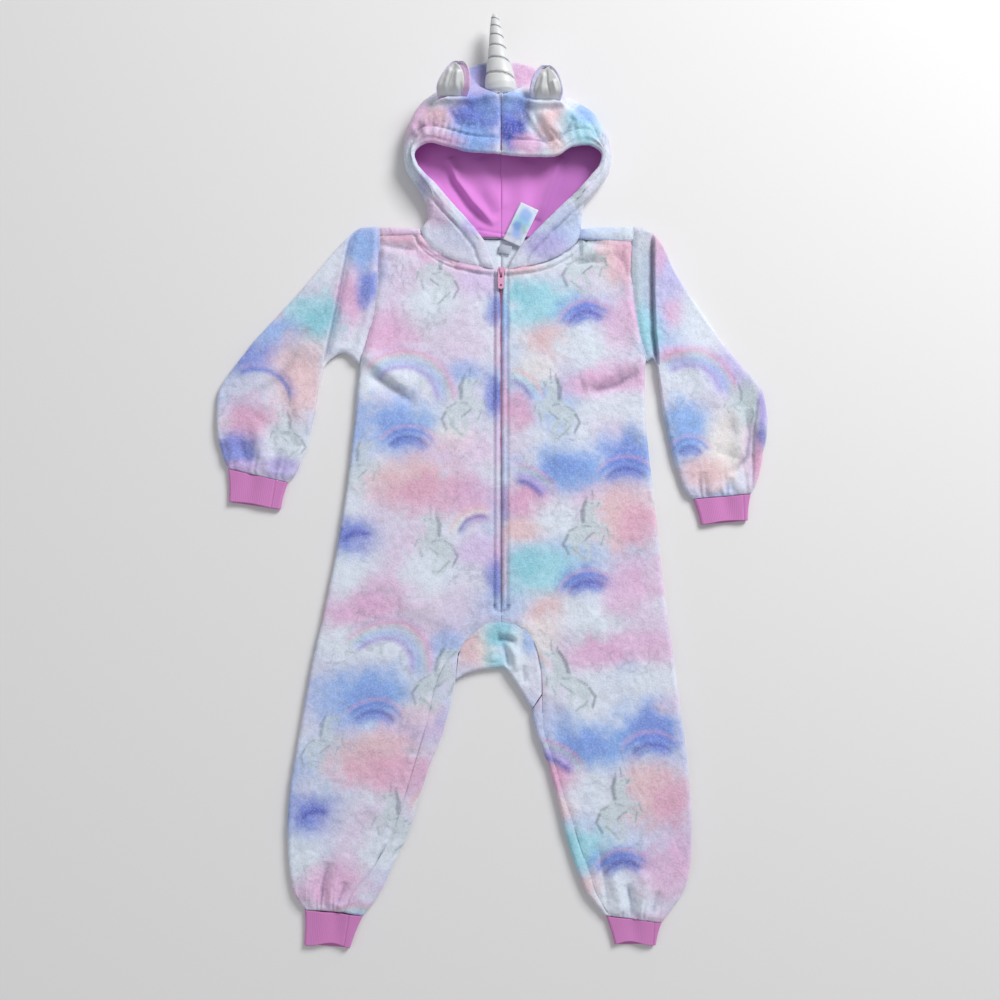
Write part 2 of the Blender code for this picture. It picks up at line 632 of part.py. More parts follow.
def build_ears():
    """Each ear: an outer layer of fleece and an inner one of satin lying in it."""
    for word, ear in EARS.items():
        back = ear_grid(ear, 0.0, 0.0)
        shell(f"ear_{word}_outer", back, back - (0, 0, FLEECE), "fleece")
        front = ear_grid(ear, SATIN + 0.9, EAR_RIM)
        shell(f"ear_{word}_inner", front, front - (0, 0, SATIN), "satin")


HornRow = namedtuple("HornRow", "share half_width half_height")
HORN_BASE = (0.5, 1001.2, 25.5)
HORN_TIP = (-8.0, 1102.0, 22.0)
HORN = (
    HornRow(0.0, 12.5, 9.0), HornRow(0.04, 16.8, 12.2), HornRow(0.11, 18.4, 13.6),
    HornRow(0.25, 16.4, 13.4), HornRow(0.42, 13.0, 11.6), HornRow(0.6, 10.1, 9.4),
    HornRow(0.75, 7.9, 7.6), HornRow(0.87, 5.9, 5.8), HornRow(0.95, 4.2, 4.1),
    HornRow(0.985, 2.5, 2.5),
)
HORN_SIDES = 16


def build_horn():
    """The stuffed satin horn, flattened where it is sewn on."""
    base, tip = np.array(HORN_BASE), np.array(HORN_TIP)
    axis = (tip - base) / np.linalg.norm(tip - base)
    right = np.cross(axis, (0, 0, 1.0))
    right /= np.linalg.norm(right)
    up = np.cross(right, axis)
    vertices = [base]
    for row in HORN:
        centre = base + (tip - base) * row.share
        for k in range(HORN_SIDES):
            angle = 2 * math.pi * k / HORN_SIDES
            vertices.append(centre + right * row.half_width * math.cos(angle)
                            + up * row.half_height * math.sin(angle))
    vertices.append(tip)
    faces = []
    for k in range(HORN_SIDES):
        after = (k + 1) % HORN_SIDES
        faces.append([0, 1 + after, 1 + k])
        for ring in range(len(HORN) - 1):
            a, b = 1 + ring * HORN_SIDES, 1 + (ring + 1) * HORN_SIDES
            faces.append([a + k, a + after, b + after, b + k])
        last = 1 + (len(HORN) - 1) * HORN_SIDES
        faces.append([last + k, last + after, len(vertices) - 1])
    add_object("horn", closed_mesh("horn", vertices, faces), "satin")


# ---- zip -------------------------------------------------------------------------------

TAPE_HALF = 13.0
TAPE_Z = 3.55
TAPE = 0.7
COIL_HALF = 2.2
COIL_Z = 4.6
COIL_HEIGHT = 1.5
SLIDER_Y = 789.0
SLIDER_LONG = 11.0
SLIDER_HALF = 4.2
SLIDER_Z = (4.7, 9.2)
BAIL_HALF = 1.0
PIVOT_Y = 789.5
PIVOT_Z = 11.4
PULL_LONG = 23.0
PULL_HALF = 3.7
PULL_THICK = 1.3
PULL_BAR = 1.2       # its top bar, which turns in the bail
SLOT_LONG = 8.5
ARC_STEPS = 4


def block(name, low, high, material):
    """A plain box."""
    corners = [(x, y, z) for z in (low[2], high[2]) for x, y in
               ((low[0], low[1]), (high[0], low[1]), (high[0], high[1]), (low[0], high[1]))]
    faces = [[0, 3, 2, 1], [4, 5, 6, 7], [0, 1, 5, 4], [1, 2, 6, 5], [2, 3, 7, 6], [3, 0, 4, 7]]
    return add_object(name, closed_mesh(name, corners, faces), material)


def rounded(cx, cy, half_x, half_y, radius):
    """Outline of a rectangle with round corners, anticlockwise."""
    points = []
    for quarter_turn, (sx, sy) in enumerate(((1, 1), (-1, 1), (-1, -1), (1, -1))):
        for k in range(ARC_STEPS + 1):
            angle = (quarter_turn + k / ARC_STEPS) * math.pi / 2
            points.append((cx + sx * (half_x - radius) + radius * math.cos(angle),
                           cy + sy * (half_y - radius) + radius * math.sin(angle)))
    return points


def plate(name, outlines, low, high, material, upright=False):
    """A plate with holes: the first outline is its edge and the rest are holes. upright
    takes the outlines as (y, z) and low and high along x."""
    curve = bpy.data.curves.new(name, "CURVE")
    curve.dimensions = "2D"
    curve.fill_mode = "BOTH"
    curve.extrude = (high - low) / 2 * MM
    for outline in outlines:
        spline = curve.splines.new("POLY")
        spline.points.add(len(outline) - 1)
        for point, (a, b) in zip(spline.points, outline):
            point.co = (a * MM, b * MM, 0, 1)
        spline.use_cyclic_u = True
    drawn = bpy.data.objects.new(name, curve)
    bpy.context.scene.collection.objects.link(drawn)
    mesh = bpy.data.meshes.new_from_object(
        drawn.evaluated_get(bpy.context.evaluated_depsgraph_get()))
    bpy.data.objects.remove(drawn)
    x, y, _ = to_metres((0, 0, 0))
    middle = (low + high) / 2 * MM
    if upright:
        mesh.transform(Matrix.Rotation(math.pi / 2, 4, "Z") @ Matrix.Rotation(math.pi / 2, 4, "X"))
        mesh.transform(Matrix.Translation((x + middle, y, 0)))
    else:
        mesh.transform(Matrix.Translation((x, y, middle)))
    solid = bmesh.new()
    solid.from_mesh(mesh)
    bmesh.ops.remove_doubles(solid, verts=solid.verts, dist=1e-6)
    bmesh.ops.recalc_face_normals(solid, faces=solid.faces)
    solid.to_mesh(mesh)
    solid.free()
    return add_object(name, mesh, material)


def build_slider():
    """The slider: a shield-shaped body with the bail that holds the pull tab."""
    front, back = SLIDER_Y - SLIDER_LONG / 2, SLIDER_Y + SLIDER_LONG / 2
    outline = [(-2.6, front), (2.6, front), (3.2, front + 1.2), (SLIDER_HALF, back - 3.0),
               (3.4, back), (0.9, back), (0, back - 2.2), (-0.9, back), (-3.4, back),
               (-SLIDER_HALF, back - 3.0), (-3.2, front + 1.2)]
    body = plate("zip_slider", [outline], *SLIDER_Z, "zip")
    base = SLIDER_Z[1] - 0.6
    top = PIVOT_Z + 2.2
    bail = [(front + 1.6, base), (back - 1.6, base), (back - 1.6, top - 1.7),
            (back - 3.0, top), (front + 3.2, top), (front + 1.6, top - 1.7)]
    window = rounded(PIVOT_Y, PIVOT_Z, 1.5, 1.3, 0.6)
    arch = plate("bail", [bail, window], -BAIL_HALF, BAIL_HALF, "zip", upright=True)
    arch.hide_render = True
    arch.display_type = "WIRE"
    join = body.modifiers.new("bail", "BOOLEAN")
    join.operation = "UNION"
    join.object = arch


def build_zip():
    """Tapes, coil, stop, slider and pull tab."""
    top = ZIP_TOP - 3.0
    for word, low, high in (("right", -TAPE_HALF, -0.2), ("left", 0.2, TAPE_HALF)):
        block(f"zip_tape_{word}", (low, ZIP_FOOT - 6, TAPE_Z), (high, top, TAPE_Z + TAPE), "zip")
    coil_top = SLIDER_Y - SLIDER_LONG / 2 - 0.5
    block("zip_coil", (-COIL_HALF, ZIP_FOOT + 3, COIL_Z),
          (COIL_HALF, coil_top, COIL_Z + COIL_HEIGHT), "zip")
    block("zip_stop", (-2.4, ZIP_FOOT, COIL_Z), (2.4, ZIP_FOOT + 2.5, COIL_Z + 1.9), "zip")
    build_slider()
    high = PIVOT_Y + PULL_BAR / 2
    low = high - PULL_LONG
    tab = rounded(0, (high + low) / 2, PULL_HALF, PULL_LONG / 2, 3.0)
    slot = rounded(0, high - PULL_BAR - SLOT_LONG / 2, 1.5, SLOT_LONG / 2, 1.2)
    eye = rounded(0, low + 4.2, 1.4, 1.4, 1.39)
    pull = plate("zip_pull", [tab, slot, eye], PIVOT_Z - PULL_THICK / 2,
                 PIVOT_Z + PULL_THICK / 2, "zip")
    axis = bpy.data.objects.new("pull_axis", None)
    axis.location = tuple(to_metres((0, PIVOT_Y, PIVOT_Z)))
    bpy.context.scene.collection.objects.link(axis)
    pull.data.transform(Matrix.Translation(-axis.location))
    pull.parent = axis


# ---- labels ----------------------------------------------------------------------------

Label = namedtuple("Label", "foot head width z_foot z_head arch")
LABELS = {
    "label_care": Label((13, 824), (34.5, 869), 23.5, 6.5, 8.0, 1.0),
    "label_size": Label((4, 812), (6, 822), 15, 4.8, 5.0, 0.3),
}


def build_labels():
    """Blank satin labels sewn in at the back of the neck."""
    for name, label in LABELS.items():
        foot, head = np.array(label.foot, float), np.array(label.head, float)
        run = head - foot
        across = np.array([run[1], -run[0]]) / np.linalg.norm(run) * label.width / 2
        top = []
        for share in (0.0, 0.25, 0.5, 0.75, 1.0):
            middle = foot + run * share
            z = label.z_foot + (label.z_head - label.z_foot) * share
            z += label.arch * 4 * share * (1 - share)
            top.append([(*(middle - across), z), (*middle, z + 0.3), (*(middle + across), z)])
        top = np.array(top)
        shell(name, top, top - np.array([0, 0, SATIN]), "label")


def main():
    """Clears the scene and builds the garment."""
    for leftover in list(bpy.data.objects):
        bpy.data.objects.remove(leftover)
    build_body()
    build_gusset()
    build_sleeve("sleeve_right", RIGHT, RIGHT_SLEEVE)
    build_sleeve("sleeve_left", LEFT, LEFT_SLEEVE)
    for name, corners in CUFFS.items():
        build_cuff(name, corners)
    build_hood()
    build_ears()
    build_horn()
    build_zip()
    build_labels()


main()
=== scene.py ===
"""Looks of a child's fleece unicorn onesie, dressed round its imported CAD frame.

The garment lies flat on its back with the hood open. The tables are in millimetres as a
maker would measure them: x from the middle of the zip, y from the lower edge of the ankle
cuffs, z from the floor. Cloth.to_world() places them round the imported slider.
"""

import logging
import math
from dataclasses import astuple, dataclass, field
from enum import Enum
from typing import Callable, Sequence

import bpy
import numpy as np
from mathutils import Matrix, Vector


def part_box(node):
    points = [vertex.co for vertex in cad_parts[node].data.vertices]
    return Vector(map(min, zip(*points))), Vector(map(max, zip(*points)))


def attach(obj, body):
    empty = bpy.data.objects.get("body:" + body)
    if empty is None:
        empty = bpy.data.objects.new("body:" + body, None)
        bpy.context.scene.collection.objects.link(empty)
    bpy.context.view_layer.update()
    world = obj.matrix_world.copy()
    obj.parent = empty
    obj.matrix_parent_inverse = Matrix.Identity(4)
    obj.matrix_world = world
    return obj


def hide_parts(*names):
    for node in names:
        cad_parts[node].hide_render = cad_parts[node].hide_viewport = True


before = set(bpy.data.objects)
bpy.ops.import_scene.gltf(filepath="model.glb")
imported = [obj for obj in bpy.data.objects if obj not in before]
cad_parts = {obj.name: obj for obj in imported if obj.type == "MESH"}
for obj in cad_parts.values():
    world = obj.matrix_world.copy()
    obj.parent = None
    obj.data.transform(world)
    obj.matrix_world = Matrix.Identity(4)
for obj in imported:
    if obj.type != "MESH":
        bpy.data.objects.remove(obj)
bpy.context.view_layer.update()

LOG = logging.getLogger("onesie")
Array = np.ndarray
Point = tuple[float, float]
Spot = tuple[float, float, float]
Socket = bpy.types.NodeSocket
Piece = bpy.types.Object
MM = 0.001

# Cloth and seams
FLEECE_WALL = 2.2
RIB_WALL = 1.2
JERSEY_WALL = 0.9
SATIN_WALL = 0.8
EAR_WALL = 3.0
PILE_SHADE = 0.2
LEAST_Z = 0.02
THREAD_SIDES = 6
HALF_GAP = -0.3
EDGE = 5.0
HEM_EDGE = 4.1
CUFF_EDGE = 3.1
SAG = 1.2
LIE_OVER = 35.0

# Neck, shoulders and zip
NECK_HALF = 96.0
SHOULDER_Y = 842.0
FRONT_DROP = 49.0
BACK_DROP = 12.0
ZIP_MOUTH = 6.0
ZIP_PARTING = 0.45
ZIP_TOP = 793.0
ZIP_FOOT = 388.0
SLIDER_Y = 789.0


# ---- numbers on grids


def fade(t: Array | float) -> Array:
    """Soft step from 0 to 1."""
    t = np.clip(t, 0.0, 1.0)
    return t * t * (3.0 - 2.0 * t)


def bump(distance: Array, width: float) -> Array:
    """Bell of height 1 about zero distance."""
    return np.exp(-(distance / width) ** 2)


def unit(vectors: Array) -> Array:
    """The same directions with length 1."""
    return vectors / np.maximum(np.linalg.norm(vectors, axis=-1, keepdims=True), 1e-9)


def monotone(rows: Array, keys: Array, at: Array) -> Array:
    """A smooth curve through rows that never overshoots them.

    Args:
        rows: values, one entry of the first axis for each key.
        keys: rising places of the rows.
        at: places to read.

    Returns:
        The values at those places.
    """
    shape = (-1,) + (1,) * (rows.ndim - 1)
    gap = np.diff(keys)
    rise = np.diff(rows, axis=0) / gap.reshape(shape)
    slope = np.zeros_like(rows)
    slope[0], slope[-1] = rise[0], rise[-1]
    before, after = rise[:-1], rise[1:]
    one = (2 * gap[1:] + gap[:-1]).reshape(shape)
    two = (gap[1:] + 2 * gap[:-1]).reshape(shape)
    same = before * after > 0
    safe_before, safe_after = np.where(same, before, 1.0), np.where(same, after, 1.0)
    slope[1:-1] = np.where(same, (one + two) / (one / safe_before + two / safe_after), 0.0)
    first = np.clip(np.searchsorted(keys, at, side="right") - 1, 0, len(keys) - 2)
    h = gap[first]
    t = ((at - keys[first]) / h).reshape(shape)
    h = h.reshape(shape)
    return ((1 + 2 * t) * (1 - t) ** 2 * rows[first] + t * (1 - t) ** 2 * h * slope[first]
            + t * t * (3 - 2 * t) * rows[first + 1] + t * t * (t - 1) * h * slope[first + 1])


def dense_rows(rows: Array, spacing: float, step: int, breaks: Sequence[int] = ()) -> Array:
    """Rows filled in to about this spacing.

    Args:
        rows: points of each given row, (rows, columns, 3).
        spacing: distance from one row to the next.
        step: each stretch between breaks gets a multiple of this many rows.
        breaks: rows that have to stay rows.

    Returns:
        The filled grid, and the new places of the breaks.
    """
    gone = np.linalg.norm(np.diff(rows, axis=0), axis=2)
    keys = np.concatenate([[0.0], np.cumsum(np.maximum(gone.mean(axis=1), 0.05))])
    marks = [0, *breaks, len(rows) - 1]
    at, places = [np.zeros(1)], []
    for low, high in zip(marks, marks[1:]):
        count = max(1, round((keys[high] - keys[low]) / spacing / step)) * step
        at.append(np.linspace(keys[low], keys[high], count + 1)[1:])
        places.append(sum(len(part) for part in at) - 1)
    return monotone(rows, keys, np.concatenate(at)), places[:-1]


class Noise:
    """Smooth noise in space from -1 to 1, the same on each run."""

    SIZE = 32

    def __init__(self, seed: int) -> None:
        """Draws the lattice of one seed."""
        self.values = np.random.default_rng(seed).uniform(-1, 1, (self.SIZE,) * 3)

    def at(self, points: Array, scale: float) -> Array:
        """Noise at points of the cloth.

        Args:
            points: where, in millimetres.
            scale: length of a wave.

        Returns:
            A value at each point, from about -1 to 1.
        """
        places = points / scale
        whole = np.floor(places).astype(int)
        t = fade(places - whole)
        total = np.zeros(points.shape[:-1])
        for corner in range(8):
            bits = np.array([(corner >> k) & 1 for k in range(3)])
            index = (whole + bits) % self.SIZE
            weight = np.prod(np.where(bits, t, 1 - t), axis=-1)
            total += weight * self.values[index[..., 0], index[..., 1], index[..., 2]]
        return total


PILE_NOISE = Noise(11)
LIE_NOISE = Noise(23)
EDGE_NOISE = Noise(37)


def line_distance(plan: Array, line: Array) -> tuple[Array, Array, Array]:
    """Where points lie beside a line.

    Args:
        plan: points, (..., 2).
        line: corners of the line, (n, 2).

    Returns:
        Distance, side (1 on the left of the line's run, -1 on its right) and the share of
        the line's length at the nearest place.
    """
    runs = np.diff(line, axis=0)
    lengths = np.maximum(np.linalg.norm(runs, axis=1), 1e-9)
    total = lengths.sum()
    best = np.full(plan.shape[:-1], np.inf)
    side, share = np.zeros_like(best), np.zeros_like(best)
    gone = 0.0
    for start, run, length in zip(line, runs, lengths):
        away = plan - start
        t = np.clip((away @ run) / length ** 2, 0, 1)
        apart = away - t[..., None] * run
        distance = np.hypot(apart[..., 0], apart[..., 1])
        closer = distance < best
        best = np.where(closer, distance, best)
        turn = np.where(run[0] * away[..., 1] - run[1] * away[..., 0] >= 0, 1.0, -1.0)
        side = np.where(closer, turn, side)
        share = np.where(closer, (gone + t * length) / total, share)
        gone += length
    return best, side, share


def near(plan: Array, line: Array) -> Array:
    """Distance of points from a line."""
    return line_distance(plan, line)[0]


# ---- folds


@dataclass(frozen=True)
class Line:
    """A line on the cloth."""

    line: tuple[Point, ...]

    def beside(self, plan: Array) -> tuple[Array, Array, Array]:
        """Distance, side and share of the line at points in plan."""
        return line_distance(plan, np.array(self.line, float))


@dataclass(frozen=True)
class Crease(Line):
    """A soft ridge, or a trough where height is negative; lean makes one side steeper."""

    height: float
    width: float
    lean: float = 0.0

    def rise(self, plan: Array) -> Array:
        """How far the cloth rises at points in plan.

        Args:
            plan: points seen from above.

        Returns:
            Height at each point, in millimetres.
        """
        distance, side, share = self.beside(plan)
        width = self.width * (1 + self.lean * side)
        ends = np.clip(np.minimum(share, 1 - share) * 5.0, 0, 1)
        return self.height * np.exp(-(distance / width) ** 2) * np.sqrt(ends)

    def shadow(self, plan: Array) -> Array:
        """Painted shade in a trough.

        Args:
            plan: points seen from above.

        Returns:
            Darkness at each point, 0 where there is none.
        """
        if self.height >= 0:
            return np.zeros(plan.shape[:-1])
        distance, _, share = self.beside(plan)
        ends = np.clip(np.minimum(share, 1 - share) * 5.0, 0, 1)
        return min(0.42, -0.12 * self.height) * np.exp(-(distance / (0.42 * self.width)) ** 2) * ends


def creases(*rows: tuple[float, ...]) -> tuple[Crease, ...]:
    """Creases from rows of height, width, lean and the line's points as x, y, x, y."""
    return tuple(Crease(tuple(zip(row[3::2], row[4::2])), *row[:3]) for row in rows)


@dataclass(frozen=True)
class Step(Line):
    """A pleat edge: the cloth on the left of the line lies over what is on its right."""

    height: float
    dip: float
    run: float = 26.0

    def rise(self, plan: Array) -> Array:
        """How far the cloth rises at points in plan.

        Args:
            plan: points seen from above.

        Returns:
            Height at each point, in millimetres.
        """
        distance, side, share = self.beside(plan)
        away = distance * side
        ends = fade(np.minimum(share * 7 + 0.35, (1 - share) * 7 + 0.35))
        over = 1 / (1 + np.exp(-np.clip(away - 1.2, -30, 30) / 0.45))
        top = self.height * np.exp(-np.maximum(away, 0) / self.run)
        low = -self.dip * np.exp(-(away / 5.0) ** 2)
        return (over * top + (1 - over) * low) * ends

    def shadow(self, plan: Array) -> Array:
        """Painted shadow on the cloth under the pleat's edge and beside it.

        Args:
            plan: points seen from above.

        Returns:
            Darkness at each point, 0 where there is none.
        """
        distance, side, share = self.beside(plan)
        away = distance * side
        ends = fade(np.minimum(share * 7 + 0.2, (1 - share) * 7 + 0.2))
        close = 0.55 * np.exp(-((away - 0.2) / 1.5) ** 2)
        beside = 0.20 * np.exp(-np.maximum(-away, 0) / 5.0) * (away < 0.2)
        return np.maximum(close, beside) * ends


@dataclass(frozen=True)
class Groove(Line):
    """A stitched line that sinks into the pile."""

    depth: float = 1.5
    width: float = 1.6

    def rise(self, plan: Array) -> Array:
        """How far the cloth rises (it sinks) at points in plan."""
        return -self.depth * bump(self.beside(plan)[0], self.width)

    def shadow(self, plan: Array) -> Array:
        """Painted shade along the stitched line."""
        return 0.3 * bump(self.beside(plan)[0], 0.8 * self.width)


Fold = Crease | Step | Groove


def risen(plan: Array, folds: Sequence[Fold]) -> Array:
    """How far folds lift the cloth at points in plan."""
    return sum((fold.rise(plan) for fold in folds), np.zeros(plan.shape[:-1]))


def shaded(colour: Array, plan: Array, folds: Sequence[Fold], seam: Array | float = 0.0) -> None:
    """Paints shade into the colour in folds and along seams, where the cloth would lie in shadow.

    Args:
        colour: linear colours, changed in place.
        plan: where they are.
        folds: the folds there.
        seam: painted shade that the seams add.
    """
    dark = np.zeros(plan.shape[:-1]) + seam
    for fold in folds:
        dark += fold.shadow(plan)
    dark = np.clip(dark, 0, 0.7)[..., None]
    # Painted shade, darkening red and green a little more than blue.
    colour *= 1 - dark * np.array([1.0, 0.97, 0.86])


# ---- the printed cloth


class Tone(Enum):
    """Dye colours of the print, as red, green and blue from 0 to 255."""

    PALE = (214, 213, 232)
    WHITE = (222, 231, 242)
    CREAM = (238, 232, 226)
    PINK = (226, 178, 214)
    ROSE = (224, 160, 196)
    PEACH = (232, 192, 194)
    LILAC = (214, 184, 230)
    LAVENDER = (180, 168, 226)
    SKY = (140, 178, 236)
    PERIWINKLE = (106, 128, 216)
    INDIGO = (76, 82, 178)
    AQUA = (162, 218, 232)
    TEAL = (136, 204, 220)
    SAGE = (176, 194, 192)
    SLATE = (120, 138, 146)

    def linear(self) -> Array:
        """The tone in linear light."""
        share = np.array(self.value) / 255.0
        return ((share + 0.055) / 1.055) ** 2.4


(PALE, WHITE, CREAM, PINK, ROSE, PEACH, LILAC, LAVENDER, SKY, PERIWINKLE, INDIGO, AQUA, TEAL, SAGE,
 SLATE) = Tone


@dataclass(frozen=True)
class Wash:
    """A soft patch of dye."""

    x: float
    y: float
    rx: float
    ry: float
    tone: Tone
    strength: float = 0.8

    def dye(self, plan: Array, colour: Array, ragged: Array) -> None:
        """Lays the patch over colour.

        Args:
            plan: points of the cloth.
            colour: linear colours there, changed in place.
            ragged: noise there, which frays the edges.
        """
        away = np.hypot((plan[..., 0] - self.x) / self.rx, (plan[..., 1] - self.y) / self.ry)
        cover = self.strength * fade((1.78 - away - 0.34 * ragged) / 1.3)
        colour += cover[..., None] * (self.tone.linear() - colour)


def washes(*rows: tuple[float | Tone, ...]) -> tuple[Wash, ...]:
    """Washes from rows of their fields."""
    return tuple(Wash(*row) for row in rows)


@dataclass(frozen=True)
class Bow:
    """Bands of a rainbow: each is an offset from the radius, a width, a tone and a strength."""

    x: float
    y: float
    radius: float
    start: float
    end: float
    bands: tuple[tuple[float, float, Tone, float], ...]

    def dye(self, plan: Array, colour: Array, ragged: Array) -> None:
        """Lays the bands over colour.

        Args:
            plan: points of the cloth.
            colour: linear colours there, changed in place.
            ragged: noise there, which frays the edges.
        """
        dx, dy = plan[..., 0] - self.x, plan[..., 1] - self.y
        reach = np.hypot(dx, dy)
        angle = np.degrees(np.arctan2(dy, dx))
        ends = fade((angle - self.start) / 22.0) * fade((self.end - angle) / 22.0)
        for offset, width, tone, strength in self.bands:
            cover = strength * ends * bump(reach - self.radius - offset + ragged, width)
            colour += cover[..., None] * (tone.linear() - colour)


Stroke = tuple[float, float, float, float, float]


@dataclass(frozen=True)
class Unicorn:
    """A small prancing unicorn drawn in a few brush strokes, size from hoof to horn."""

    x: float
    y: float
    size: float
    facing: int = 1
    strength: float = 0.75
    rear: float = 0.5

    COAT = ((-0.22, 0.0, 0.14, 0.06, 0.145), (0.13, 0.08, 0.27, 0.36, 0.085),
            (0.27, 0.39, 0.42, 0.31, 0.055), (-0.24, -0.06, -0.33, -0.22, 0.07),
            (-0.33, -0.22, -0.26, -0.44, 0.035), (-0.14, -0.10, -0.10, -0.27, 0.05),
            (-0.10, -0.27, -0.19, -0.45, 0.03), (0.17, -0.02, 0.34, -0.06, 0.045),
            (0.34, -0.06, 0.31, -0.22, 0.03), (0.10, -0.06, 0.22, -0.18, 0.045),
            (0.22, -0.18, 0.12, -0.30, 0.028))
    SHADE = ((0.24, 0.46, 0.10, 0.33, 0.030), (0.12, 0.36, 0.04, 0.18, 0.034),
             (0.18, 0.40, 0.10, 0.24, 0.016), (-0.33, 0.08, -0.45, 0.0, 0.024),
             (-0.45, 0.0, -0.46, -0.20, 0.020), (0.36, 0.43, 0.44, 0.58, 0.008),
             (0.27, 0.47, 0.30, 0.53, 0.012), (0.31, 0.385, 0.33, 0.375, 0.010),
             (0.38, 0.29, 0.43, 0.32, 0.010), (-0.10, -0.13, 0.10, -0.09, 0.014),
             (-0.35, -0.14, -0.32, -0.26, 0.008), (-0.31, -0.26, -0.26, -0.43, 0.008),
             (0.36, -0.08, 0.33, -0.22, 0.008), (0.24, -0.20, 0.13, -0.31, 0.008),
             (-0.28, 0.13, -0.10, 0.13, 0.010), (0.0, 0.10, 0.10, 0.02, 0.010))

    def cover(self, at: Array, strokes: tuple[Stroke, ...], soft: float) -> Array:
        """How much of each point the strokes cover.

        Args:
            at: points in the unicorn's own measure.
            strokes: lines with their half widths.
            soft: how far an edge fades.

        Returns:
            A share from 0 to 1 at each point.
        """
        found = np.zeros(at.shape[:-1])
        for x0, y0, x1, y1, radius in strokes:
            distance = near(at, np.array([(x0, y0), (x1, y1)]))
            found = np.maximum(found, fade((radius + soft - distance) / (2 * soft)))
        return found

    def dye(self, plan: Array, colour: Array, ragged: Array) -> None:
        """Paints the unicorn over colour.

        Args:
            plan: points of the cloth.
            colour: linear colours there, changed in place.
            ragged: noise there, which frays the edges.
        """
        close = np.hypot(plan[..., 0] - self.x, plan[..., 1] - self.y) < 0.85 * self.size
        if not close.any():
            return
        at = (plan[close] - (self.x, self.y)) / self.size * (self.facing, 1)
        cos, sin = math.cos(self.rear), math.sin(self.rear)
        at = at @ np.array([(cos, -sin), (sin, cos)])
        at = at + ragged[close][..., None] * 0.02
        part = colour[close]
        coat = self.cover(at, self.COAT, 0.045) * self.strength
        part += coat[:, None] * (0.5 * (WHITE.linear() + SAGE.linear()) - part)
        shade = self.cover(at, self.SHADE, 0.02) * self.strength * 0.85
        part += shade[:, None] * (SLATE.linear() - part)
        colour[close] = part


Mark = Wash | Bow | Unicorn
REPEAT = 320.0


@dataclass(frozen=True)
class Layout:
    """What the print shows on one cut piece.

    marks repeat every REPEAT down the cloth; own are there once. swing is how far the leg's
    cloth has turned outwards below hip, since the panel isn't straight.
    """

    ground: Tone
    marks: tuple[Mark, ...] = ()
    own: tuple[Mark, ...] = ()
    offset: Point = (0.0, 0.0)
    swing: float = 0.0
    hip: float = 0.0

    def colour(self, points: Array) -> Array:
        """Print at points on the cloth.

        Args:
            points: points of the cloth.

        Returns:
            A linear colour at each point.
        """
        plan = points[..., :2].copy()
        ragged = EDGE_NOISE.at(points, 17.0) + 0.6 * EDGE_NOISE.at(points, 6.0)
        colour = np.broadcast_to(self.ground.linear(), (*plan.shape[:-1], 3)).copy()
        cloud = fade(0.5 + EDGE_NOISE.at(points + 400.0, 42.0))[..., None]
        colour += 0.7 * cloud * (WHITE.linear() - colour)
        drift = EDGE_NOISE.at(points + 700.0, 64.0) + 0.5 * EDGE_NOISE.at(points + 900.0, 27.0)
        for tone, share in ((PINK, 0.4 * drift), (SKY, -0.6 * drift)):
            colour += np.clip(share - 0.04, 0, 1)[..., None] * (tone.linear() - colour)
        colour *= (1 + 0.05 * EDGE_NOISE.at(points + 300.0, 5.0))[..., None]
        turned_out = self.swing * (1 - np.exp(-np.maximum(self.hip - plan[..., 1], 0) / 120.0))
        cloth = plan + np.stack([-turned_out, np.zeros_like(turned_out)], axis=-1)
        cloth += self.offset
        for mark in self.marks:
            at = cloth.copy()
            at[..., 1] = mark.y + (cloth[..., 1] - mark.y + REPEAT / 2) % REPEAT - REPEAT / 2
            mark.dye(at, colour, ragged)
        for mark in self.own:
            mark.dye(plan, colour, ragged)
        line = bump(EDGE_NOISE.at(points + 500.0, 13.0) + 0.3 * EDGE_NOISE.at(points, 5.0), 0.09)
        where = fade(1.6 * EDGE_NOISE.at(points + 800.0, 34.0))
        colour += (0.28 * line * where)[..., None] * (SLATE.linear() - colour)
        return colour


FAINT_BOW = ((-9.0, 3.6, LAVENDER, 0.85), (-2.0, 5.0, SKY, 0.5), (5.0, 3.0, SAGE, 0.45),
             (10.0, 2.8, ROSE, 0.6), (15.0, 2.4, LILAC, 0.4))
DEEP_BOW = ((-9.0, 4.6, INDIGO, 0.8), (-2.0, 5.0, LAVENDER, 0.8), (5.0, 3.0, SAGE, 0.6),
            (10.0, 2.6, ROSE, 0.5))
BLUE_BOW = ((-6.0, 3.0, PERIWINKLE, 0.5), (0.0, 3.4, INDIGO, 0.62), (9.0, 2.4, PERIWINKLE, 0.55),
            (14.0, 2.2, ROSE, 0.35))
SMALL_BOW = ((-5.0, 2.6, LAVENDER, 0.5), (0.0, 3.0, INDIGO, 0.6), (6.0, 2.6, CREAM, 0.6),
             (11.0, 2.4, PEACH, 0.6))

